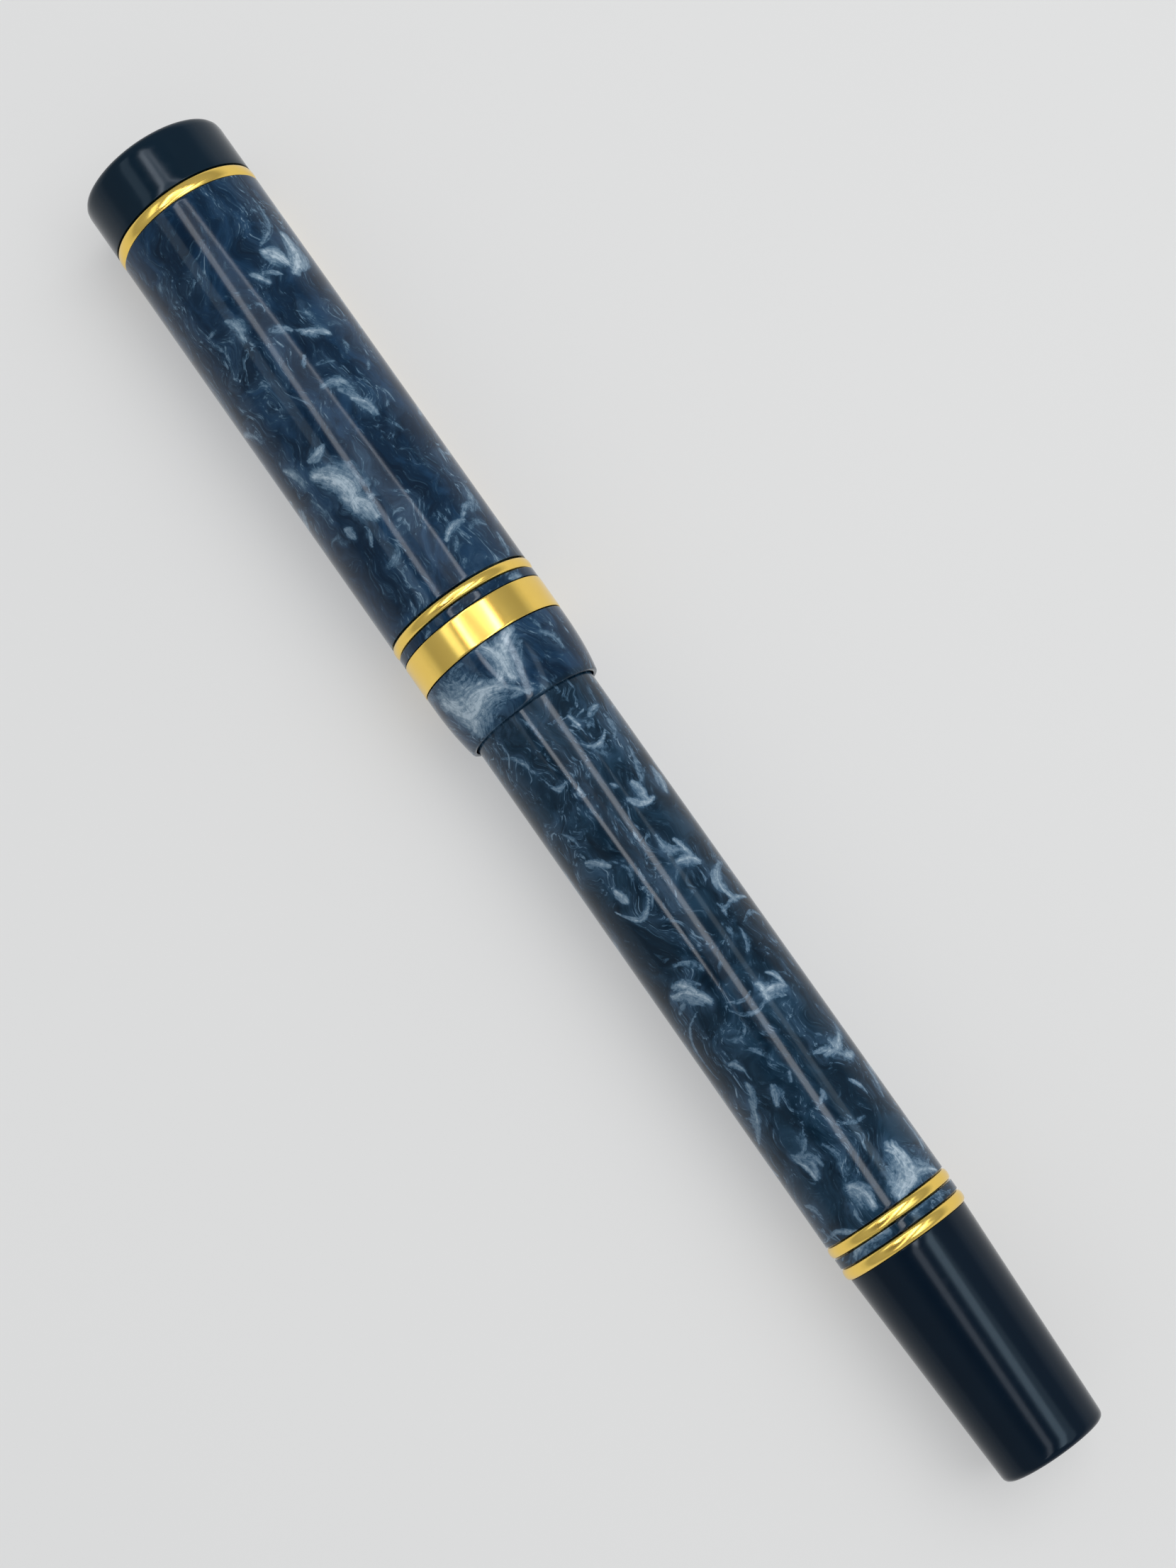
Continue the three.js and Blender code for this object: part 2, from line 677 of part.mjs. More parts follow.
const cap = assembly(
  piece('cap_crown', capCrown(), blackResin),
  piece('cap_tube', capTube(), marbledResin),
  piece('cap_band_narrow', capBandNarrow(), goldTrim),
  piece('cap_spacer', capSpacer(), marbledResin),
  piece('cap_band_wide', capBandWide(), goldTrim),
  piece('cap_lip', capLip(), marbledResin),
  piece('inner_cap', innerCap(), darkPlastic),
  clip,
);

const barrel = assembly(
  piece('barrel_tube', barrelTube(), marbledResin),
  piece('barrel_bush', barrelBush(), brass),
  piece('barrel_ring_upper', barrelRing(UPPER_RING_FRONT, UPPER_RING_BACK), goldTrim),
  piece('barrel_spacer', barrelSpacer(), marbledResin),
  piece('barrel_ring_lower', barrelRing(LOWER_RING_FRONT, LOWER_RING_BACK), goldTrim),
  piece('tail_cap', tailCap(), blackResin),
);

const section = assembly(
  piece('grip_section', gripSection(), blackResin),
  piece('section_connector', sectionConnector(), brass),
  piece('nib_housing', nibHousing(), darkPlastic),
  piece('feed', feed(), darkPlastic),
  piece('nib', nib(), nibGold),
  piece('nib_tipping', nibTipping(), tippingMetal),
);

const converter = assembly(
  piece('converter_mouth', converterMouth(), darkPlastic),
  piece('converter_tube', converterTube(), clearPlastic),
  piece('converter_sleeve', converterSleeve(), chrome),
  piece('converter_piston', converterPiston(), sealRubber),
  piece('converter_rod', converterRod(), darkPlastic),
  piece('converter_nut', converterNut(), brass),
  piece('converter_knob', converterKnob(), darkPlastic),
);

const pen = assembly(cap, barrel, section, converter);
pen.position.z = TRIM_RADIUS;

export default pen;
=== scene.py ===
import json
import math
import random
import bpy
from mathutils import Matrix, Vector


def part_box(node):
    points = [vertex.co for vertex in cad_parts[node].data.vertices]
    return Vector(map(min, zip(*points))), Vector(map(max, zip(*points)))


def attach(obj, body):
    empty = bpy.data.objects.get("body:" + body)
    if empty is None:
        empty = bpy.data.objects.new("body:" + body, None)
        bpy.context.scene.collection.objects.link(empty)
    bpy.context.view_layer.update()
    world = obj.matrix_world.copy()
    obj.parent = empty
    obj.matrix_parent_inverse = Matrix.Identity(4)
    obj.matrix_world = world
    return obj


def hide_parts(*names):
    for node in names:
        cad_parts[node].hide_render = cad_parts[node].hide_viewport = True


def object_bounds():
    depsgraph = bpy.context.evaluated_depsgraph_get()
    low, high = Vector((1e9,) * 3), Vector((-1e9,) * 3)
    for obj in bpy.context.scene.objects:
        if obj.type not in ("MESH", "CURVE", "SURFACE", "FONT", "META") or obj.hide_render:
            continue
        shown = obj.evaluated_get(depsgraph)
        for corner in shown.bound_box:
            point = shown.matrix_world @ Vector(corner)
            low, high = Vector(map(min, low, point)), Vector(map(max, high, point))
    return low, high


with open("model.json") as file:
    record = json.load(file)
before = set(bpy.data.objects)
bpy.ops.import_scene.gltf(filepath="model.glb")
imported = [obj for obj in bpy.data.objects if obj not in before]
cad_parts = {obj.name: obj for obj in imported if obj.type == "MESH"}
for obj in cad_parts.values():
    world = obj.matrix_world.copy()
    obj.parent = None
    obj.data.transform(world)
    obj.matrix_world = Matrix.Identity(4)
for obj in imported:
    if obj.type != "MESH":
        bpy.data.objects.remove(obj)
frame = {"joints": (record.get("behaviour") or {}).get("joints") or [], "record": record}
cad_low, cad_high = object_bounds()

from types import SimpleNamespace

import bmesh
import bpy
import numpy as np
from mathutils import Matrix, Vector, noise

# A capped fountain pen that lies along X with its crown at +X. Metres, in the frame's own axes.
# Outlines are (x, radius) pairs that go along a piece's outside from the crown's side to the
# tail's, and back along its inside.

MM = 0.001
TAU = 2 * math.pi

RECORD = frame["record"]
BODY_OF = {n: body for body, nodes in RECORD["behaviour"]["bodies"].items() for n in nodes}

OUTER_SEGMENTS = 144
INNER_SEGMENTS = 96
SEAM = 0.02 * MM
CORNER_STEPS = 4
DOME_STEPS = 8


def span(node):
    """A turned node's front and back along X, and its largest radius."""
    low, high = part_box(node)
    return SimpleNamespace(front=high.x, back=low.x, radius=(high.z - low.z) / 2)


AXIS_Z = sum(corner.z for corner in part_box("cap_crown")) / 2
crown, collar, tube = span("cap_crown"), span("clip_collar"), span("cap_tube")
band, lip, grip = span("cap_band_narrow"), span("cap_lip"), span("grip_section")
barrel, lower_ring = span("barrel_tube"), span("barrel_ring_lower")


def from_crown(distance):
    """Where a distance in mm behind the crown's face is along X."""
    return crown.front - distance * MM


# ---- Outlines ---------------------------------------------------------------------------

def rounded(corners, closed=True):
    """Rounds an outline. Each corner is (x, radius) or (x, radius, rounding)."""
    points = []
    count = len(corners)
    for i, corner in enumerate(corners):
        here = Vector(corner[:2])
        size = corner[2] if len(corner) > 2 else 0
        end = not closed and i in (0, count - 1)
        if size == 0 or end:
            points.append(here)
            continue
        before = Vector(corners[i - 1][:2]) - here
        after = Vector(corners[(i + 1) % count][:2]) - here
        size = min(size, 0.48 * before.length, 0.48 * after.length)
        first, last = here + before.normalized() * size, here + after.normalized() * size
        for step in range(CORNER_STEPS + 1):
            t = step / CORNER_STEPS
            points.append(first.lerp(here, t).lerp(here.lerp(last, t), t))
    return points


def divided(points, step, closed=True):
    """Splits an outline's long stretches into parts no longer than a step, or than step(a, b)."""
    made = []
    last = len(points) if closed else len(points) - 1
    for i in range(last):
        a, b = points[i], points[(i + 1) % len(points)]
        longest = step(a, b) if callable(step) else step
        pieces = max(1, math.ceil((b - a).length / longest))
        made.extend(a.lerp(b, k / pieces) for k in range(pieces))
    if not closed:
        made.append(points[-1])
    return made


def dome(front, back, edge, crest):
    """A half-round rise between two edges, from the edge radius to the crest."""
    made = []
    for i in range(DOME_STEPS + 1):
        t = 2 * i / DOME_STEPS - 1
        made.append((front + (back - front) * i / DOME_STEPS,
                     edge + (crest - edge) * math.sqrt(1 - t * t)))
    return made


# ---- Meshes -----------------------------------------------------------------------------

def place(x, radius, angle):
    """A point at an angle round the pen's axis: 0 is up, and a quarter turn is towards -Y."""
    return Vector((x, -radius * math.sin(angle), AXIS_Z + radius * math.cos(angle)))


def revolve(outline, segments, relief=None, closed=True):
    """Turns an outline round the pen's axis. relief(x, radius, angle) moves a point outwards."""
    work = bmesh.new()
    rings = []
    for x, radius in outline:
        if radius < 1e-7:
            rings.append([work.verts.new(place(x, 0, 0))])
            continue
        ring = []
        for k in range(segments):
            angle = TAU * k / segments
            extra = relief(x, radius, angle) if relief else 0
            ring.append(work.verts.new(place(x, radius + extra, angle)))
        rings.append(ring)
    pairs = list(zip(rings, rings[1:]))
    if closed:
        pairs.append((rings[-1], rings[0]))
    for a, b in pairs:
        if len(a) == 1 and len(b) == 1:
            continue
        for k in range(segments):
            j = (k + 1) % segments
            corners = [a[k % len(a)], a[j % len(a)], b[j % len(b)], b[k % len(b)]]
            work.faces.new(list(dict.fromkeys(corners)))
    return work


def loft(sections):
    """Joins rings of points into one closed skin, with a flat face at each end."""
    work = bmesh.new()
    rings = [[work.verts.new(point) for point in section] for section in sections]
    count = len(rings[0])
    for a, b in zip(rings, rings[1:]):
        for k in range(count):
            j = (k + 1) % count
            work.faces.new([a[k], a[j], b[j], b[k]])
    work.faces.new(rings[0])
    work.faces.new(rings[-1])
    return work


def finish_mesh(work, name, sharp_degrees=35):
    bmesh.ops.recalc_face_normals(work, faces=work.faces)
    mesh = bpy.data.meshes.new(name)
    work.to_mesh(mesh)
    work.free()
    mesh.shade_smooth()
    mesh.set_sharp_from_angle(angle=math.radians(sharp_degrees))
    return mesh


def linked(name, data):
    """A new object in the scene."""
    made = bpy.data.objects.new(name, data)
    bpy.context.scene.collection.objects.link(made)
    return made


def piece(node, work, material, sharp_degrees=35):
    """The finished piece that stands for a CAD node, on the same body, with the given material."""
    name = node + "_fine"
    mesh = finish_mesh(work, name, sharp_degrees)
    mesh.materials.append(material)
    made = linked(name, mesh)
    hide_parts(node)
    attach(made, BODY_OF[node])
    return made


def smoothstep(low, high, value):
    t = min(max((value - low) / (high - low), 0), 1)
    return t * t * (3 - 2 * t)


def mix(a, b, t):
    return a + (b - a) * t


# ---- Node materials ---------------------------------------------------------------------

RESIN_IOR = 1.5
RESIN_GLOSS = 0.25


class Shader:
    """Builds one node material. Every call returns the new node's first output."""

    def __init__(self, name):
        self.material = bpy.data.materials.new(name)
        self.material.use_nodes = True
        self.tree = self.material.node_tree
        self.tree.nodes.clear()

    def node(self, kind, values=(), **settings):
        made = self.tree.nodes.new("ShaderNode" + kind)
        for key, value in settings.items():
            setattr(made, key, value)
        for key, value in dict(values).items():
            if isinstance(value, bpy.types.NodeSocket):
                self.tree.links.new(value, made.inputs[key])
            else:
                made.inputs[key].default_value = value
        return made

    def maths(self, operation, a, b=0.0, c=0.0, clamp=False):
        return self.node("Math", {0: a, 1: b, 2: c}, operation=operation, use_clamp=clamp).outputs[0]

    def vector(self, operation, a, b):
        return self.node("VectorMath", {0: a, 1: b}, operation=operation).outputs[0]

    def noise(self, vector, scale, detail=3.0, roughness=0.5, distortion=0.0, colour=False):
        values = {"Vector": vector, "Scale": scale, "Detail": detail, "Roughness": roughness,
                  "Distortion": distortion}
        return self.node("TexNoise", values).outputs[1 if colour else 0]

    def between(self, value, low, high):
        values = {"Value": value, "From Min": low, "From Max": high}
        return self.node("MapRange", values, interpolation_type="SMOOTHSTEP").outputs[0]

    def spread(self, value, low, high):
        """A value from 0 to 1, moved to the range from low to high."""
        return self.node("MapRange", {"Value": value, "To Min": low, "To Max": high}).outputs[0]

    def mix(self, amount, a, b, blend="MIX"):
        made = self.node("Mix", data_type="RGBA", blend_type=blend)
        for socket, value in zip((made.inputs[0], made.inputs[6], made.inputs[7]), (amount, a, b)):
            if isinstance(value, bpy.types.NodeSocket):
                self.tree.links.new(value, socket)
            else:
                socket.default_value = value
        return made.outputs[2]

    def ramp(self, value, stops):
        made = self.node("ValToRGB", {0: value})
        elements = made.color_ramp.elements
        while len(elements) < len(stops):
            elements.new(1.0)
        for element, (position, colour) in zip(elements, stops):
            element.position = position
            element.color = (*colour, 1)
        return made.outputs[0]

    def bump(self, height, distance, strength=1.0, normal=None):
        values = {"Height": height, "Distance": distance, "Strength": strength}
        if normal is not None:
            values["Normal"] = normal
        return self.node("Bump", values).outputs[0]

    def millimetres(self):
        """The piece's own coordinates in millimetres from the pen's axis."""
        place_on = self.node("TexCoord").outputs["Object"]
        centred = self.vector("SUBTRACT", place_on, (0, 0, AXIS_Z))
        return self.scaled(centred, 1 / MM)

    def scaled(self, vector, factor):
        made = self.node("VectorMath", {0: vector}, operation="SCALE")
        made.inputs["Scale"].default_value = factor
        return made.outputs[0]

    def principled(self, values):
        shader = self.node("BsdfPrincipled", values)
        self.node("OutputMaterial", {"Surface": shader.outputs[0]})
        return self.material


# ---- Marbled resin ----------------------------------------------------------------------

# Pearly brush strokes in the resin, as seen from above: the station from the crown and the
# offset to the side where a stroke starts and ends, its half width and bend, all in mm, and
# its strength.
STROKES = [
    (13.7, 6.0, 17.4, 4.8, 0.62, 0.2, 1.2), (14.6, 3.7, 16.4, 5.2, 0.50, 0.1, 1.2),
    (9.6, 5.7, 14.0, 3.6, 0.26, 0.2, 0.6), (11.0, 5.3, 13.8, 3.9, 0.20, 0.1, 0.4),
    (16.0, 1.7, 17.4, 2.7, 0.26, 0.0, 0.95), (16.4, 2.6, 17.3, 3.9, 0.18, 0.1, 0.7),
    (18.2, -2.3, 20.4, -2.0, 0.34, 0.1, 0.9), (18.0, -4.5, 18.2, -3.3, 0.16, 0.1, 0.65),
    (18.7, -4.7, 20.2, -3.9, 0.16, 0.1, 0.5), (21.0, 0.3, 22.3, 2.0, 0.30, 0.1, 0.6),
    (23.0, 2.4, 24.0, 4.5, 0.24, 0.1, 1.0), (22.5, 2.2, 23.8, 3.4, 0.20, 0.1, 0.8),
    (20.8, 3.1, 22.4, 4.0, 0.18, 0.1, 0.5), (24.6, 1.4, 25.7, 0.8, 0.16, 0.0, 0.7),
    (25.9, 1.8, 26.5, 3.4, 0.18, 0.1, 0.5), (24.8, 5.1, 26.2, 4.5, 0.18, 0.1, 0.55),
    (27.4, 5.7, 28.4, 5.1, 0.16, 0.0, 0.6), (27.8, 1.1, 29.2, 3.5, 0.32, 0.2, 0.75),
    (28.7, 2.2, 30.4, 3.2, 0.30, 0.1, 0.75), (30.0, 2.8, 32.4, 3.7, 0.28, 0.1, 0.95),
    (30.0, 5.1, 31.9, 5.6, 0.17, 0.1, 0.55), (33.0, 3.9, 34.6, 4.9, 0.20, 0.1, 0.4),
    (31.2, -5.8, 33.7, -5.0, 0.32, 0.1, 0.85), (32.4, -3.5, 32.1, -1.5, 0.27, 0.0, 1.0),
    (33.6, -3.9, 38.4, -2.3, 0.75, 0.2, 1.2), (36.8, -2.6, 40.0, -1.2, 0.55, 0.1, 1.15),
    (38.8, -2.1, 38.3, -0.5, 0.26, 0.1, 0.85), (34.9, -5.3, 37.6, -4.7, 0.35, 0.1, 0.5),
    (39.1, -4.4, 40.2, -4.1, 0.26, 0.0, 0.9), (40.0, -2.8, 41.6, -3.2, 0.17, 0.1, 0.75),
    (36.3, -1.0, 37.3, -0.5, 0.30, 0.1, 0.55), (43.0, -1.5, 44.1, -3.3, 0.32, 0.2, 0.55),
    (41.6, 6.3, 43.6, 5.4, 0.36, 0.1, 0.7), (44.9, 2.2, 44.1, 4.7, 0.24, 0.1, 0.95),
    (44.2, 4.3, 42.9, 6.1, 0.22, 0.1, 0.6), (45.0, 3.1, 46.2, 2.3, 0.17, 0.1, 0.6),
    (45.4, 4.3, 45.3, 6.0, 0.32, 0.2, 0.5), (46.4, 6.3, 48.4, 5.8, 0.28, 0.1, 0.6),
    (47.0, 2.7, 48.0, 2.1, 0.16, 0.0, 0.5), (36.0, 3.4, 38.8, 4.8, 0.25, 0.2, 0.3),
    (50.6, 4.7, 50.6, 5.9, 0.20, 0.0, 0.8), (50.7, -3.9, 50.6, -3.2, 0.17, 0.0, 0.6),
    (56.0, -5.9, 57.6, -2.4, 1.40, -0.3, 1.2), (59.3, -5.2, 57.8, -1.2, 1.10, 0.3, 1.15),
    (54.5, -0.6, 57.6, -1.0, 0.75, 0.3, 1.1), (58.0, 0.1, 54.4, 2.4, 0.60, 0.2, 1.15),
    (59.2, 0.8, 55.8, 2.7, 0.34, 0.1, 0.6), (55.4, -4.7, 54.5, -2.4, 0.26, 0.2, 0.5),
    (57.8, -2.0, 59.8, 0.6, 0.20, 0.1, 0.8), (55.8, 4.4, 58.0, 5.3, 0.34, 0.1, 0.55),
    (59.3, -1.0, 59.9, 1.2, 0.25, 0.1, 0.7), (54.4, 4.3, 55.6, 4.7, 0.18, 0.0, 0.45),
    (63.3, 2.1, 64.4, 2.5, 0.20, 0.0, 0.9), (64.1, 3.5, 63.7, 4.8, 0.22, 0.1, 0.85),
    (65.9, 1.7, 65.9, 3.9, 0.17, -0.3, 0.95), (66.2, 2.0, 67.7, 3.0, 0.42, 0.2, 0.45),
    (64.6, 4.7, 66.8, 4.3, 0.24, 0.1, 0.7), (62.4, -4.5, 65.4, -3.0, 0.16, 0.1, 0.65),
    (65.2, -3.0, 67.2, -2.6, 0.16, 0.1, 0.5), (67.1, -2.6, 67.6, -1.2, 0.20, -0.3, 0.8),
    (61.0, -1.4, 63.8, -1.1, 0.18, 0.1, 0.45), (70.0, 1.7, 70.6, 2.1, 0.17, 0.0, 0.75),
    (72.1, 2.0, 72.7, 4.1, 0.26, -0.2, 1.0), (71.0, 3.2, 72.6, 3.6, 0.32, 0.1, 1.0),
    (68.0, 4.8, 71.6, 3.4, 0.24, 0.1, 0.6), (70.4, 5.5, 72.8, 5.2, 0.45, 0.1, 0.8),
    (71.0, -4.1, 72.9, -3.4, 0.16, 0.1, 0.6), (74.2, -3.9, 75.7, -2.2, 0.26, 0.1, 0.9),
    (75.4, -2.0, 77.8, -1.6, 0.30, 0.2, 0.5), (77.4, -3.1, 79.0, -2.8, 0.26, 0.0, 1.0),
    (79.0, -4.2, 78.7, -0.8, 0.17, -0.5, 0.95), (75.8, 2.5, 77.8, 3.7, 0.28, -0.3, 0.75),
    (76.8, 3.3, 79.4, 3.7, 0.24, 0.1, 0.85), (78.4, 2.7, 79.4, 4.1, 0.36, 0.1, 1.0),
    (80.4, 5.4, 83.8, 4.7, 0.42, -0.4, 0.95), (84.1, 3.1, 84.0, 5.6, 0.16, 0.1, 0.85),
    (83.3, 3.1, 84.6, 3.2, 0.17, 0.1, 0.65), (85.5, -2.8, 87.2, -0.8, 0.22, 0.2, 0.6),
    (85.0, 2.6, 86.9, 2.4, 0.22, 0.1, 0.4), (87.4, -4.3, 89.6, -1.9, 0.46, 0.15, 1.0),
    (86.9, -3.9, 88.6, -2.3, 0.30, 0.15, 1.0), (86.8, -3.3, 88.0, -1.7, 0.17, 0.1, 0.7),
    (89.2, -4.7, 88.5, -3.6, 0.17, 0.0, 0.75),
    (89.8, -3.3, 95.2, -5.1, 0.18, -0.3, 0.6), (86.0, 3.5, 88.2, 2.9, 0.17, 0.1, 0.7),
    (85.7, 4.1, 86.2, 5.7, 0.17, 0.2, 0.65), (91.4, -1.0, 91.9, 2.4, 0.16, -0.3, 0.7),
    (90.6, -0.9, 90.8, 1.4, 0.16, -0.2, 0.5), (90.8, 2.1, 92.4, 2.0, 0.40, 0.1, 1.0),
    (91.8, 1.9, 92.1, 3.9, 0.34, 0.1, 1.0), (90.4, 3.2, 92.1, 3.9, 0.19, 0.1, 0.9),
    (92.3, 2.1, 92.7, 3.4, 0.17, 0.1, 0.85), (91.0, 4.2, 91.8, 4.8, 0.20, 0.1, 0.5),
    (92.7, -0.7, 93.7, -1.8, 0.42, 0.2, 0.5), (94.8, -3.8, 96.0, -3.0, 0.22, 0.1, 0.85),
    (94.8, -1.5, 96.6, -0.5, 0.17, 0.1, 0.6), (97.0, -3.5, 98.8, -4.0, 0.30, 0.1, 0.75),
    (98.2, -4.0, 101.6, -5.5, 0.27, 0.1, 0.85), (98.3, -1.7, 99.8, -2.3, 0.30, 0.1, 0.8),
    (98.0, 0.1, 98.9, -0.3, 0.16, 0.0, 0.7), (98.0, 2.5, 99.8, 4.8, 0.18, 0.1, 0.8),
    (98.7, 3.4, 97.8, 5.3, 0.28, -0.1, 0.95), (96.8, 5.5, 98.4, 5.1, 0.22, 0.1, 0.6),
    (99.4, 4.6, 99.9, 5.3, 0.30, 0.0, 1.0), (100.9, 1.3, 101.8, 0.7, 0.22, 0.1, 0.8),
    (102.1, -1.5, 104.6, -3.5, 0.18, 0.1, 0.65), (104.0, -3.9, 106.5, -3.0, 0.42, 0.2, 0.7),
    (104.4, -3.8, 106.7, -3.2, 0.17, 0.1, 1.0), (104.5, -2.9, 106.0, -2.2, 0.25, 0.1, 0.7),
    (101.4, 3.7, 103.2, 4.3, 0.18, 0.1, 0.75), (101.0, 5.6, 104.2, 5.3, 0.26, 0.1, 0.65),
    (104.1, 1.2, 104.6, 3.1, 0.16, -0.1, 0.6), (104.6, -1.1, 108.2, -1.7, 0.34, 0.2, 0.45),
    (108.5, -1.4, 111.0, -0.6, 0.46, 0.1, 1.0), (108.6, -1.7, 109.6, -0.8, 0.30, 0.1, 0.9),
    (108.0, 3.5, 111.5, 1.7, 0.80, 0.3, 1.15), (107.9, 2.9, 109.6, 3.5, 0.30, 0.1, 1.0),
    (111.0, 1.3, 111.6, 5.3, 0.28, 0.1, 1.0), (109.8, 3.7, 111.4, 5.1, 0.36, 0.1, 0.7),
    (109.2, 2.0, 111.6, 1.2, 0.34, 0.1, 0.6), (107.8, -5.3, 109.7, -4.7, 0.24, 0.1, 0.6),
    (111.2, -5.0, 111.8, -2.9, 0.17, 0.1, 0.9), (106.8, 5.6, 109.8, 5.4, 0.22, 0.1, 0.7),
    (113.4, -4.4, 113.3, -0.8, 0.40, 0.1, 0.9), (113.3, 1.4, 113.5, 4.6, 0.30, 0.1, 0.5),
]
# The pen's radius up to a station, which turns a stroke's offset into an angle.
SEEN_RADII = ((61, 7.05), (115, 5.94))
UNSEEN_STROKES = 170
# For the random strokes, and for the vector noise, which Blender otherwise seeds from the clock.
SEED = 11
noise.seed_set(SEED)
# How far a stroke's cover and its halo reach, in half widths.
FRAY = 2.3
HALO = 4.0


def stroke_list():
    """Each stroke's start and end as station and angle, then half width, bend and strength.
    The pen's other side, which the photograph does not show, gets random strokes."""
    made = []
    for start, side, end, end_side, width, bend, strength in STROKES:
        radius = next(r for limit, r in SEEN_RADII if start < limit)
        turns = [math.asin(value / radius) for value in (side, end_side)]
        made.append((start, turns[0], end, turns[1], width, bend, strength))
    draw = random.Random(SEED)
    for _ in range(UNSEEN_STROKES):
        start, turn = draw.uniform(7, 111), math.radians(draw.uniform(78, 282))
        lean, length = draw.gauss(0, 0.75), draw.uniform(0.8, 3.4)
        width = draw.uniform(0.16, 0.30) if draw.random() < 0.7 else draw.uniform(0.35, 0.8)
        made.append((start, turn, start + length * math.cos(lean), turn + length * math.sin(lean) / 6.4,
                     width, draw.uniform(-0.3, 0.3), draw.uniform(0.45, 1.0)))
    return made


def soft_step(low, high, value):
    t = np.clip((value - low) / (high - low), 0, 1)
    return t * t * (3 - 2 * t)


def paint_marble(mesh):
    """Stores the marbling on a mesh, per vertex: how strongly a stroke covers it, the soft halo
    round the strokes, and where it lies along and across its stroke."""
    points = np.array([v.co for v in mesh.vertices]) / MM
    height = points[:, 2] - AXIS_Z / MM
    radius = np.hypot(points[:, 1], height)
    angle = np.arctan2(-points[:, 1], height)
    sway = np.array([noise.noise_vector(Vector(p) * 0.5) for p in points])
    station = cad_high.x / MM - points[:, 0] + 0.25 * sway[:, 0]
    stroke, halo = np.zeros(len(points)), np.zeros(len(points))
    grain = np.zeros((len(points), 3))
    near = (station.min() - 6, station.max() + 6)
    for number, (start, turn, end, end_turn, width, bend, strength) in enumerate(stroke_list()):
        if not near[0] < start < near[1]:
            continue
        reach_x, reach_y = end - start, (end_turn - turn) * 0.5 * (radius.max() + 5.9)
        length = math.hypot(reach_x, reach_y)
        cos, sin = reach_x / length, reach_y / length
        along_pen = station - start
        around = ((angle - turn + math.pi) % TAU - math.pi) * radius + 0.25 * sway[:, 1]
        along, across = along_pen * cos + around * sin, around * cos - along_pen * sin
        t = np.clip(along / length, 0, 1)
        across = across - bend * length * 4 * t * (1 - t)
        past = np.maximum(np.maximum(-along, along - length), 0)
        half = width * (0.45 + 0.55 * np.sin(np.pi * t))
        soft_side = np.where(across > 0, 1.0, 0.62) if number % 2 else np.where(across < 0, 1.0, 0.62)
        reach = np.hypot(across * soft_side, past) / half
        cover = strength * np.clip(1 - reach / FRAY, 0, 1)
        halo = np.maximum(halo, min(1, width / 0.4) * strength * soft_step(HALO, 0.6, reach))
        on_top = cover > stroke
        stroke = np.where(on_top, cover, stroke)
        grain[on_top] = np.stack([along, across, np.full(len(along), 7.3 * number)], 1)[on_top]
    for name, values in (("stroke", stroke), ("halo", halo)):
        layer = mesh.attributes.new(name, "FLOAT", "POINT")
        layer.data.foreach_set("value", values.astype(np.float32))
    layer = mesh.attributes.new("grain", "FLOAT_VECTOR", "POINT")
    layer.data.foreach_set("vector", grain.astype(np.float32).ravel())


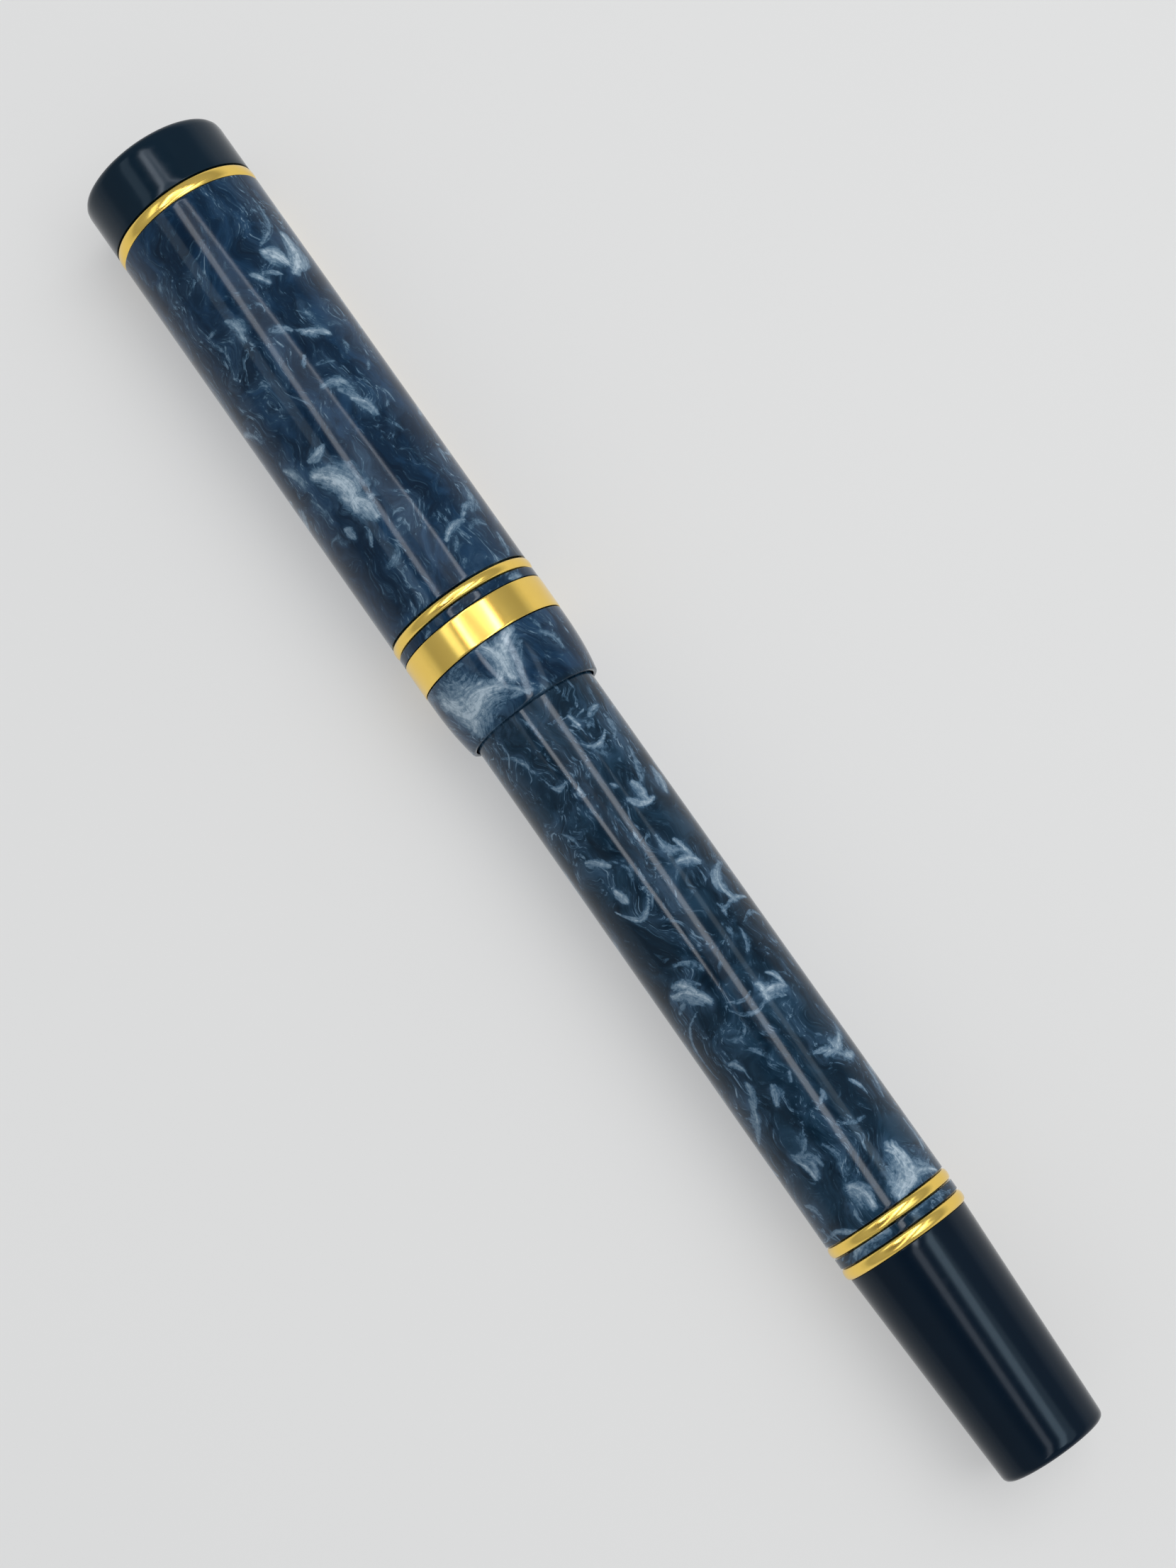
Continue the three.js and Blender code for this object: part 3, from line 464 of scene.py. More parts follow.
def marbled_resin():
    sh = Shader("marbled_resin")
    place_mm = sh.millimetres()
    stroke = sh.node("Attribute", attribute_name="stroke").outputs["Fac"]
    halo = sh.node("Attribute", attribute_name="halo").outputs["Fac"]
    grain = sh.node("Attribute", attribute_name="grain").outputs["Vector"]

    # Each stroke frays into fibres along its own length, broken up by a fine fleck.
    fibres = sh.noise(sh.vector("MULTIPLY", grain, (0.50, 3.0, 1.0)), 1.0, 5, 0.68, 0.3)
    fleck = sh.noise(place_mm, 2.4, 5, 0.62, 0.6)
    frayed = sh.maths("MULTIPLY_ADD", sh.maths("SUBTRACT", fibres, 0.5), 1.5,
                      sh.maths("MULTIPLY_ADD", sh.maths("SUBTRACT", fleck, 0.5), 1.2, stroke))
    inside = sh.between(stroke, 0.0, 0.42)
    pearl = sh.maths("MULTIPLY", inside, sh.node("MapRange", {
        "Value": frayed, "From Min": 0.10, "From Max": 1.25}).outputs[0])

    # The resin was stirred: faint filaments and drifts follow one swirl, drawn out along the pen.
    turned = sh.vector("SUBTRACT", sh.noise(place_mm, 0.16, 2, colour=True), (0.5,) * 3)
    swirl = sh.vector("ADD", place_mm, sh.scaled(turned, 9))
    flow = sh.vector("MULTIPLY", swirl, (0.40, 1, 1))
    streaked = sh.vector("MULTIPLY", swirl, (0.28, 1.5, 1.5))
    where = sh.between(sh.noise(sh.vector("ADD", flow, (31.0, 7.0, 3.0)), 0.34, 3, 0.55), 0.44, 0.64)
    filaments = sh.between(sh.noise(streaked, 1.7, 5, 0.66, 0.5), 0.47, 0.74)
    stirred = sh.maths("MULTIPLY", filaments, sh.maths("MULTIPLY_ADD", where, 0.56, 0.22))
    silver = sh.maths("MAXIMUM", pearl, stirred, clamp=True)

    drifts = sh.between(sh.noise(flow, 0.9, 5, 0.66, 0.8), 0.36, 0.68)
    haze = sh.maths("MULTIPLY", sh.maths("MULTIPLY_ADD", halo, 0.70, sh.maths("MULTIPLY", where, 0.46)),
                    sh.maths("MULTIPLY_ADD", drifts, 0.9, 0.1), clamp=True)
    base = sh.ramp(sh.noise(flow, 0.42, 5, 0.6, 0.4), [
        (0.34, (0.0012, 0.0100, 0.0230)), (0.50, (0.0032, 0.0190, 0.0400)),
        (0.66, (0.0120, 0.0430, 0.0820))])
    on_cap = sh.between(sh.node("SeparateXYZ", {0: place_mm}).outputs[0], 7.4, 8.2)
    bluer = sh.mix(on_cap, base, (1.0, 1.12, 1.35, 1), "MULTIPLY")
    capped = sh.mix(on_cap, base, bluer)
    hazed = sh.mix(haze, capped, (0.052, 0.112, 0.196, 1))
    light = sh.ramp(silver, [
        (0.0, (0.012, 0.050, 0.095)), (0.30, (0.065, 0.132, 0.210)), (0.62, (0.180, 0.270, 0.360)),
        (1.0, (0.470, 0.580, 0.670))])
    colour = sh.mix(sh.between(silver, 0.0, 0.36), hazed, light)
    ripple = sh.bump(sh.noise(place_mm, 0.8, 3), 0.004 * MM, 0.6)
    return sh.principled({"Base Color": colour, "Roughness": 0.10, "IOR": RESIN_IOR, "Normal": ripple,
                          "Specular IOR Level": RESIN_GLOSS, "Specular Tint": (0.80, 0.93, 1.0, 1)})


# ---- Other materials --------------------------------------------------------------------

def black_resin():
    sh = Shader("black_resin")
    place_mm = sh.millimetres()
    on_crown = sh.between(sh.node("SeparateXYZ", {0: place_mm}).outputs[0], -1, 1)
    dark = sh.mix(on_crown, (0.0005, 0.0052, 0.0140, 1), (0.0008, 0.0095, 0.0210, 1))
    pale = sh.mix(on_crown, (0.0010, 0.0075, 0.0185, 1), (0.0022, 0.0138, 0.0285, 1))
    tone = sh.mix(sh.noise(place_mm, 0.4, 3), dark, pale)
    wear = sh.between(sh.noise(place_mm, 1.3, 4), 0.45, 0.75)
    rough = sh.maths("MULTIPLY_ADD", wear, 0.03, 0.15)
    ripple = sh.bump(sh.noise(place_mm, 0.5, 2), 0.003 * MM, 0.5)
    return sh.principled({"Base Color": tone, "Roughness": rough, "IOR": RESIN_IOR, "Normal": ripple,
                          "Specular IOR Level": RESIN_GLOSS, "Specular Tint": (0.70, 0.87, 1.0, 1)})


def polished_metal(name, colour, deep_colour, rough_low, rough_high):
    """A plated metal: tone changes slowly, and fine scratches run round the pen."""
    sh = Shader(name)
    place_mm = sh.millimetres()
    tone = sh.mix(sh.noise(place_mm, 0.5, 3), (*colour, 1), (*deep_colour, 1))
    scratches = sh.noise(sh.vector("MULTIPLY", place_mm, (14, 0.7, 0.7)), 1.0, 4, 0.7)
    rough = sh.spread(scratches, rough_low, rough_high)
    waves = sh.bump(sh.noise(place_mm, 0.8, 2), 0.0025 * MM, 0.5)
    normal = sh.bump(scratches, 0.0012 * MM, 0.5, waves)
    return sh.principled({"Base Color": tone, "Metallic": 1.0, "Roughness": rough, "Normal": normal})


def moulded_plastic(name, low, high, roughness):
    sh = Shader(name)
    place_mm = sh.millimetres()
    tone = sh.mix(sh.noise(place_mm, 0.6, 4), (*low, 1), (*high, 1))
    rough = sh.spread(sh.noise(place_mm, 3.0, 4), roughness * 0.8, roughness * 1.25)
    normal = sh.bump(sh.noise(place_mm, 7.0, 4), 0.01 * MM, 0.4)
    return sh.principled({"Base Color": tone, "Roughness": rough, "Normal": normal})


def clear_plastic():
    sh = Shader("clear_plastic")
    place_mm = sh.millimetres()
    tint = sh.mix(sh.noise(place_mm, 0.3, 2), (0.90, 0.94, 0.96, 1), (0.97, 0.985, 0.99, 1))
    haze = sh.spread(sh.noise(place_mm, 1.2, 4), 0.02, 0.07)
    return sh.principled({"Base Color": tint, "Roughness": haze, "IOR": 1.46,
                          "Transmission Weight": 1.0})


def paper_floor():
    """A smooth, nearly white studio sheet with the faintest mottling."""
    sh = Shader("paper_floor")
    place_mm = sh.millimetres()
    tone = sh.mix(sh.noise(place_mm, 0.012, 3), (0.445, 0.445, 0.44, 1), (0.465, 0.465, 0.46, 1))
    return sh.principled({"Base Color": tone, "Roughness": 0.85, "Specular IOR Level": 0.1,
                          "Emission Color": (1, 1, 1, 1), "Emission Strength": 0.375})


# Two tones, and the least and most roughness.
METALS = {
    "gold_trim": ((1.0, 0.705, 0.170), (0.96, 0.645, 0.132), 0.14, 0.24),
    "nib_metal": ((1.0, 0.74, 0.30), (0.95, 0.68, 0.24), 0.08, 0.18),
    "tipping": ((0.80, 0.81, 0.83), (0.66, 0.67, 0.70), 0.10, 0.22),
    "thread_brass": ((0.78, 0.55, 0.20), (0.66, 0.43, 0.14), 0.18, 0.34),
    "chrome_sleeve": ((0.74, 0.75, 0.77), (0.64, 0.65, 0.67), 0.05, 0.12),
}
# Two tones, and the roughness.
PLASTICS = {
    "inner_plastic": ((0.010, 0.010, 0.012), (0.022, 0.022, 0.025), 0.38),
    "feed_plastic": ((0.012, 0.012, 0.013), (0.028, 0.027, 0.027), 0.5),
    "piston_seal": ((0.018, 0.018, 0.020), (0.035, 0.035, 0.038), 0.65),
}
MATERIALS = {
    "marbled_resin": marbled_resin(),
    "black_resin": black_resin(),
    **{name: polished_metal(name, *look) for name, look in METALS.items()},
    **{name: moulded_plastic(name, *look) for name, look in PLASTICS.items()},
    "clear_plastic": clear_plastic(),
}


# ---- Cap --------------------------------------------------------------------------------

EDGE = 0.06 * MM
ROW = 0.3 * MM
MARBLE_ROW = 0.19 * MM
MARBLE_SEGMENTS = 240
MARBLE_FROM = 5.8 * MM
TENON_RADIUS = 6.4 * MM
SPIGOT_RADIUS = 4.2 * MM
CLEARANCE = 0.1 * MM
CAP_BORE = 5.95 * MM
THREAD_DEPTH = 0.28 * MM
THREAD_PITCH = 1.2 * MM
CAP_THREAD_CREST = 5.5 * MM
# Where the cap's thread runs, and the barrel's shoulder that the cap's tenon stops short of.
CAP_THREAD_FRONT = from_crown(52.2)
CAP_THREAD_BACK = from_crown(57.0)
SHOULDER = from_crown(57.6)
BAND_BORE = TENON_RADIUS + CLEARANCE
TRIM_SEGMENTS = 192
COLLAR_EDGE = 6.94 * MM
CAP_RING_EDGE = 6.86 * MM
BARREL_RING_EDGE = 5.80 * MM


def tube_piece(node, corners, material, segments=OUTER_SEGMENTS, relief=None, step=None):
    """A hollow turned piece. Its outline closes on itself."""
    points = rounded(corners)
    if step:
        points = divided(points, step)
    return piece(node, revolve(points, segments, relief), MATERIALS[material])


def solid_piece(node, corners, material, segments, relief=None, step=None):
    """A turned piece with no bore. Its outline starts and ends on the axis."""
    points = rounded(corners, closed=False)
    if step:
        points = divided(points, step, closed=False)
    return piece(node, revolve(points, segments, relief, closed=False), MATERIALS[material])


def sleeve(node, bore, material, corner, bore_corner=0, relief=None, step=None):
    """A plain tube that fills its node's length, with rounded outer corners."""
    part = span(node)
    tube_piece(node, [
        (part.front, part.radius, corner), (part.back, part.radius, corner),
        (part.back, bore, bore_corner), (part.front, bore, bore_corner),
    ], material, INNER_SEGMENTS, relief, step)


def marbled(node, corners, relief=None):
    """A marbled turned piece, with rows close enough on the outside to carry its strokes."""
    def row(a, b):
        return MARBLE_ROW if min(a.y, b.y) > MARBLE_FROM else ROW

    made = tube_piece(node, corners, "marbled_resin", MARBLE_SEGMENTS, relief, row)
    paint_marble(made.data)
    return made


def helix(front, back, pitch, depth, base):
    """A relief that adds a screw thread of that depth between two x, on a surface of base radius."""
    fade = 0.5 * pitch

    def relief(x, radius, angle):
        if not (back < x < front and base - SEAM < radius < base + SEAM):
            return 0
        turn = ((front - x) / pitch + angle / TAU) % 1
        profile = min(1, max(0, 1.6 * (1 - abs(2 * turn - 1)) - 0.3))
        ends = min(1, (front - x) / fade, (x - back) / fade)
        return depth * profile * ends

    return relief


def cap_crown():
    corner = 0.9 * MM
    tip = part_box("cap_crown")
    shoulder = from_crown(5.5)
    solid_piece("cap_crown", [
        (crown.front, 0), (from_crown(0.02), crown.radius * 0.6, 0.5 * MM),
        (from_crown(0.10), crown.radius, corner), (shoulder, crown.radius, EDGE),
        (shoulder, SPIGOT_RADIUS, EDGE), (tip[0].x, SPIGOT_RADIUS, 0.3 * MM), (tip[0].x, 0),
    ], "black_resin", TRIM_SEGMENTS, step=0.6 * MM)


def domed_outline(front, back, edge, crest, bore):
    """The outline of a trim ring whose outside is domed."""
    shoulder = edge - 0.03 * MM
    corners = [(front, bore), (front, shoulder), *dome(front, back, edge, crest), (back, shoulder),
               (back, bore)]
    return [Vector(corner) for corner in corners]


CLIP_POS = Vector(next(j for j in frame["joints"] if j["name"] == "clip_flex")["pos_m"])
CLIP_OUT = Vector((0, CLIP_POS.y, CLIP_POS.z - AXIS_Z)).normalized()
CLIP_SIDE = Vector((1, 0, 0)).cross(CLIP_OUT)
CLIP_INNER_RADIUS = 7.35 * MM
CLIP_THICKNESS = 0.75 * MM
CLIP_BOW = 0.18 * MM
CLIP_ROOT_WIDTH = 3.1 * MM
CLIP_TIP_WIDTH = 1.9 * MM
CLIP_BALL_RADIUS = 1.05 * MM
CLIP_BALL_OUT = 8.25 * MM


def clip_point(x, out, side):
    return Vector((x, 0, AXIS_Z)) + CLIP_OUT * out + CLIP_SIDE * side


def clip_section(x, inner, thickness, width, corners=20, squareness=0.42):
    """A rounded bar's section, with its outer face a little convex."""
    made = []
    for k in range(corners):
        angle = TAU * k / corners
        c, s = math.cos(angle), math.sin(angle)
        across = math.copysign(abs(s) ** squareness, s) * width / 2
        up = math.copysign(abs(c) ** squareness, c)
        out = inner + thickness * (0.5 + 0.5 * up * (1 - 0.12 * (2 * across / width) ** 2))
        made.append(clip_point(x, out, across))
    return made


def clip_arm():
    low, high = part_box("clip_arm")
    front, ball_x = high.x, low.x + CLIP_BALL_RADIUS
    steps = 60
    sections = []
    for i in range(steps + 1):
        t = i / steps
        width = mix(CLIP_ROOT_WIDTH, CLIP_TIP_WIDTH, t) * (1 - 0.12 * math.sin(math.pi * t))
        inner = CLIP_INNER_RADIUS + CLIP_BOW * math.sin(math.pi * t)
        ends = min(1, 0.8 + 0.2 * t * steps / 2)
        sections.append(clip_section(mix(front, ball_x, t), inner, CLIP_THICKNESS, width * ends))
    work = loft(sections)
    centre = clip_point(ball_x, CLIP_BALL_OUT, 0)
    ball = bmesh.ops.create_uvsphere(work, u_segments=40, v_segments=24, radius=CLIP_BALL_RADIUS)
    bmesh.ops.translate(work, verts=ball["verts"], vec=centre)
    piece("clip_arm", work, MATERIALS["gold_trim"], 50)


def clip_collar():
    bore = SPIGOT_RADIUS + CLEARANCE
    outline = domed_outline(collar.front, collar.back, COLLAR_EDGE, crown.radius + EDGE, bore)
    work = revolve(outline, OUTER_SEGMENTS)
    lug_front, lug_back = collar.front - 0.1 * MM, collar.back + 0.03 * MM
    sections = []
    for x, inset in ((lug_front, 0.12), (lug_front - 0.1 * MM, 0),
                     (lug_back + 0.1 * MM, 0), (lug_back, 0.12)):
        top = CLIP_INNER_RADIUS + CLIP_THICKNESS - inset * MM
        sections.append(clip_section(x, TENON_RADIUS, top - TENON_RADIUS, CLIP_ROOT_WIDTH - inset * MM))
    lug = loft(sections)
    spare = bpy.data.meshes.new("lug")
    lug.to_mesh(spare)
    lug.free()
    work.from_mesh(spare)
    bpy.data.meshes.remove(spare)
    piece("clip_collar", work, MATERIALS["gold_trim"])


def cap_tube():
    head = from_crown(8.0)
    spigot = SPIGOT_RADIUS + CLEARANCE
    band_front = band.front + 0.1 * MM
    root = CAP_THREAD_CREST + CLEARANCE + THREAD_DEPTH
    female = helix(CAP_THREAD_FRONT, CAP_THREAD_BACK, THREAD_PITCH, -THREAD_DEPTH, root)
    marbled("cap_tube", [
        (tube.front, tube.radius, EDGE), (band_front, 7.03 * MM, EDGE), (band_front, TENON_RADIUS, EDGE),
        (tube.back, TENON_RADIUS, 0.15 * MM), (tube.back, CAP_BORE), (CAP_THREAD_BACK, CAP_BORE),
        (CAP_THREAD_BACK - SEAM, root), (CAP_THREAD_FRONT, root), (CAP_THREAD_FRONT + SEAM, CAP_BORE),
        (head, CAP_BORE), (head, spigot), (tube.front, spigot),
    ], female)


def trim_ring(node, edge, bore):
    part = span(node)
    outline = domed_outline(part.front, part.back, edge, part.radius, bore)
    piece(node, revolve(outline, TRIM_SEGMENTS), MATERIALS["gold_trim"])


def flat_ring(node, bore):
    part = span(node)
    tube_piece(node, [
        (part.front, bore), (part.front, part.radius - 0.02 * MM, 0.03 * MM),
        (part.front - 0.10 * MM, part.radius, 0.08 * MM), (part.back + 0.10 * MM, part.radius, 0.08 * MM),
        (part.back, part.radius - 0.02 * MM, 0.03 * MM), (part.back, bore),
    ], "gold_trim", TRIM_SEGMENTS)


def spacer(node, bore):
    part = span(node)
    marbled(node, [(part.front, part.radius, EDGE), (part.back, part.radius, EDGE), (part.back, bore),
                   (part.front, bore)])


LIP_FALL = 0.53 * MM
LIP_FALL_POWER = 2.5
LIP_BORE = 6.12 * MM


def cap_lip():
    steps = 20
    side = []
    for i in range(steps + 1):
        t = i / steps
        radius = lip.radius - LIP_FALL * t ** LIP_FALL_POWER
        rounding = EDGE if i == 0 else 0.22 * MM if i == steps else 0
        side.append((mix(lip.front, lip.back, t), radius, rounding))
    inside = [(lip.back, LIP_BORE, 0.1 * MM), (SHOULDER, LIP_BORE), (SHOULDER, BAND_BORE),
              (lip.front, BAND_BORE)]
    marbled("cap_lip", side + inside)


def inner_cap():
    liner = span("inner_cap")
    socket_end, floor = from_crown(11.2), from_crown(12.2)
    bore, socket, chamfer = 4.1 * MM, SPIGOT_RADIUS + CLEARANCE, 0.3 * MM
    solid_piece("inner_cap", [
        (socket_end, 0), (socket_end, socket), (liner.front, socket, 0.1 * MM),
        (liner.front, liner.radius, chamfer), (liner.back, liner.radius, chamfer),
        (liner.back, bore, chamfer), (floor, bore, 0.4 * MM), (floor, 0),
    ], "inner_plastic", INNER_SEGMENTS)


# ---- Barrel -----------------------------------------------------------------------------

BUSH_BORE = 4.7 * MM
BARREL_BORE = 4.1 * MM
TAIL_SPIGOT_RADIUS = 4.6 * MM
RING_BORE = TAIL_SPIGOT_RADIUS + CLEARANCE


def barrel_tube():
    bush_end = from_crown(59.6)
    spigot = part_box("tail_cap")[1].x + CLEARANCE
    core = CAP_THREAD_CREST - THREAD_DEPTH
    male = helix(CAP_THREAD_FRONT, CAP_THREAD_BACK, THREAD_PITCH, THREAD_DEPTH, core)
    marbled("barrel_tube", [
        (barrel.front, core, 0.2 * MM), (SHOULDER, core, 0.1 * MM),
        (SHOULDER, barrel.radius, 0.25 * MM), (barrel.back, barrel.radius, EDGE),
        (barrel.back, RING_BORE), (spigot, RING_BORE), (spigot, BARREL_BORE), (bush_end, BARREL_BORE),
        (bush_end, BUSH_BORE), (barrel.front, BUSH_BORE),
    ], male)


def barrel_bush():
    bush = span("barrel_bush")
    root, depth = 4.4 * MM, 0.2 * MM
    female = helix(bush.front, bush.back, 1.5 * MM, -depth, root)
    sleeve("barrel_bush", root, "thread_brass", 0.1 * MM, relief=female, step=0.12 * MM)


def tail_cap():
    low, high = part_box("tail_cap")
    front = lower_ring.back - 0.05 * MM
    rim, back_radius = 5.76 * MM, 4.93 * MM
    bore, wide_bore = 3.6 * MM, 3.95 * MM
    wide_end, bore_end = from_crown(117), from_crown(130.5)
    solid_piece("tail_cap", [
        (bore_end, 0), (bore_end, bore, 0.5 * MM), (wide_end, bore), (wide_end, wide_bore),
        (high.x, wide_bore, 0.1 * MM), (high.x, TAIL_SPIGOT_RADIUS, 0.2 * MM), (front, TAIL_SPIGOT_RADIUS),
        (front, rim, EDGE), (low.x + 0.08 * MM, back_radius, 0.60 * MM), (low.x, 2.4 * MM, 0.8 * MM),
        (low.x, 0),
    ], "black_resin", TRIM_SEGMENTS, step=0.6 * MM)


# ---- Section and nib unit ---------------------------------------------------------------

CONNECTOR_RADIUS = 3.9 * MM
SECTION_BORE = 3.45 * MM
GRIP_SHAPE = [(0, 4.42), (0.12, 4.64), (0.5, 4.77), (1.2, 4.78), (2.4, 4.6), (4.5, 4.42), (8, 4.6),
              (11.5, 4.95), (14.4, 5.2)]


def smooth_curve(points, steps=6):
    """A curve through given points (Catmull-Rom)."""
    ends = [points[0], *points, points[-1]]
    made = []
    for a, b, c, d in zip(ends, ends[1:], ends[2:], ends[3:]):
        for i in range(steps):
            t = i / steps
            made.append(0.5 * (2 * b + (c - a) * t + (2 * a - 5 * b + 4 * c - d) * t * t
                               + (3 * b - a - 3 * c + d) * t ** 3))
    made.append(points[-1])
    return made


def grip_section():
    seat = from_crown(47.5)
    side = smooth_curve([Vector((grip.front - d * MM, r * MM)) for d, r in GRIP_SHAPE])
    inner = [(grip.back, CONNECTOR_RADIUS + CLEARANCE), (seat, CONNECTOR_RADIUS + CLEARANCE),
             (seat, SECTION_BORE), (grip.front, SECTION_BORE, 0.2 * MM)]
    tube_piece("grip_section", [tuple(p) for p in side] + inner, "black_resin", OUTER_SEGMENTS)


def section_connector():
    part = span("section_connector")
    thread_front = from_crown(52)
    pitch, depth = 1.4 * MM, 0.2 * MM
    male = helix(thread_front, part.back, pitch, depth, CONNECTOR_RADIUS)
    tube_piece("section_connector", [
        (part.front, CONNECTOR_RADIUS), (part.back, CONNECTOR_RADIUS, 0.1 * MM), (part.back, SECTION_BORE),
        (part.front, SECTION_BORE),
    ], "thread_brass", INNER_SEGMENTS, male, 0.12 * MM)


def nib_housing():
    part = span("nib_housing")
    back, bore_end = from_crown(53.4), from_crown(52)
    bore, nipple, ink_hole = 2.95 * MM, 1.25 * MM, 0.6 * MM
    tube_piece("nib_housing", [
        (part.front, part.radius, 0.15 * MM), (back, part.radius, 0.2 * MM), (back, nipple, 0.1 * MM),
        (part.back, nipple, 0.2 * MM), (part.back, ink_hole), (bore_end, ink_hole), (bore_end, bore),
        (part.front, bore, 0.1 * MM),
    ], "feed_plastic", INNER_SEGMENTS)


NIB_THICKNESS = 0.3 * MM
NIB_LENGTH = 32 * MM
NIB_BASE_RADIUS = 2.85 * MM
NIB_TIP_CURVE = 4.4 * MM
NIB_TIP_HEIGHT = 0.45 * MM
NIB_BEND = 20 * MM
NIB_SHOULDER = 15 * MM
NIB_SHOULDER_WIDTH = 3.35 * MM
NIB_BASE_WIDTH = 2.95 * MM
NIB_POINT_WIDTH = 0.3 * MM
NIB_FRONT = 0.25 * MM
NIB_GROOVE = 0.06 * MM
NIB_ROWS = 380
NIB_COLUMNS = 46
SLIT = 0.15 * MM
BREATHER = 12.5 * MM
BREATHER_RADIUS = 0.65 * MM
HOLE_STEPS = 16
NIB_TIP_X = from_crown(14.5)


def nib_ridge(distance):
    return mix(NIB_TIP_HEIGHT, NIB_BASE_RADIUS, math.sin(min(distance / NIB_BEND, 1) * math.pi / 2))


def nib_curve(distance):
    return mix(NIB_TIP_CURVE, NIB_BASE_RADIUS, smoothstep(0, 1, distance / NIB_BEND))


def nib_half_width(distance):
    if distance < NIB_SHOULDER:
        swell = math.sin(distance / NIB_SHOULDER * math.pi / 2) ** 1.35
        return mix(NIB_POINT_WIDTH, NIB_SHOULDER_WIDTH, swell)
    return mix(NIB_SHOULDER_WIDTH, NIB_BASE_WIDTH, smoothstep(NIB_SHOULDER, NIB_BEND, distance))


def nib_point(distance, across, depth):
    """A point on the nib: across is measured round its curve, and depth below its top face."""
    curve = nib_curve(distance)
    radius = curve - depth
    z = AXIS_Z + nib_ridge(distance) - curve + radius * math.cos(across / curve)
    return Vector((NIB_TIP_X - distance, -radius * math.sin(across / curve), z))


def nib_gap(distance):
    """Half the opening between the tines at a distance from the tip: the slit, then the hole."""
    hole = BREATHER_RADIUS ** 2 - (distance - BREATHER) ** 2
    slit = SLIT / 2 if distance < BREATHER else 0
    return max(slit, math.sqrt(hole) if hole > 0 else 0)


def engraving(distance, across):
    """How deep the engraved lines cut: a border inside the edge, and a lens round the hole."""
    def line(off, half, edge):
        return 1 - smoothstep(half * MM, edge * MM, abs(off))

    inset = nib_half_width(distance) - abs(across)
    border = NIB_GROOVE * line(inset - 0.55 * MM, 0.04, 0.14)
    second = 0.7 * NIB_GROOVE * line(inset - 0.92 * MM, 0.03, 0.11)
    lens = NIB_GROOVE * line(math.hypot((distance - 21 * MM) / 2.6, across) - 1.5 * MM, 0.04, 0.14)
    fades = smoothstep(3.5 * MM, 5 * MM, distance) * (1 - smoothstep(25.5 * MM, 26.5 * MM, distance))
    return max(border, second, lens) * fades


def nib_piece():
    rows = {NIB_FRONT + (NIB_LENGTH - NIB_FRONT) * i / NIB_ROWS for i in range(NIB_ROWS + 1)}
    rows |= {BREATHER - BREATHER_RADIUS * math.cos(math.pi * i / HOLE_STEPS)
             for i in range(HOLE_STEPS + 1)}
    rows = sorted(rows)
    work = bmesh.new()
    for hand in (1, -1):
        tops, bottoms = [], []
        for distance in rows:
            gap, edge = nib_gap(distance), nib_half_width(distance)
            across = [hand * mix(gap, edge, j / NIB_COLUMNS) for j in range(NIB_COLUMNS + 1)]
            tops.append([work.verts.new(nib_point(distance, a, engraving(distance, a))) for a in across])
            bottoms.append([work.verts.new(nib_point(distance, a, NIB_THICKNESS)) for a in across])
        for i in range(len(rows) - 1):
            for j in range(NIB_COLUMNS):
                for skin in (tops, bottoms):
                    work.faces.new([skin[i][j], skin[i][j + 1], skin[i + 1][j + 1], skin[i + 1][j]])
            open_here = nib_gap(rows[i]) > 0 or nib_gap(rows[i + 1]) > 0
            for j in ([0] if open_here else []) + [NIB_COLUMNS]:
                work.faces.new([tops[i][j], tops[i + 1][j], bottoms[i + 1][j], bottoms[i][j]])
        for i in (0, len(rows) - 1):
            for j in range(NIB_COLUMNS):
                work.faces.new([tops[i][j], tops[i][j + 1], bottoms[i][j + 1], bottoms[i][j]])
    bmesh.ops.remove_doubles(work, verts=work.verts, dist=1e-7)
    piece("nib", work, MATERIALS["nib_metal"], 40)


def nib_tipping():
    low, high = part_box("nib_tipping")
    centre, radius = (low + high) / 2, (high.x - low.x) / 2
    work = bmesh.new()
    for hand in (1, -1):
        made = bmesh.ops.create_uvsphere(work, u_segments=32, v_segments=20, radius=radius)["verts"]
        bmesh.ops.translate(work, verts=made, vec=centre)
        faces = list({f for v in made for f in v.link_faces})
        edges = list({e for v in made for e in v.link_edges})
        cut = bmesh.ops.bisect_plane(work, geom=made + edges + faces, plane_co=(0, hand * SLIT / 3, 0),
                                     plane_no=(0, -hand, 0), clear_outer=True)
        rim = [e for e in cut["geom_cut"] if isinstance(e, bmesh.types.BMEdge)]
        bmesh.ops.holes_fill(work, edges=rim, sides=0)
    piece("nib_tipping", work, MATERIALS["tipping"], 50)


FEED_RADIUS = 2.42 * MM
FEED_SEGMENTS = 48
FIN_PITCH = 0.62 * MM
FIN_COUNT = 20
FIN_START = 3.5 * MM
FIN_DEPTH = 0.75 * MM


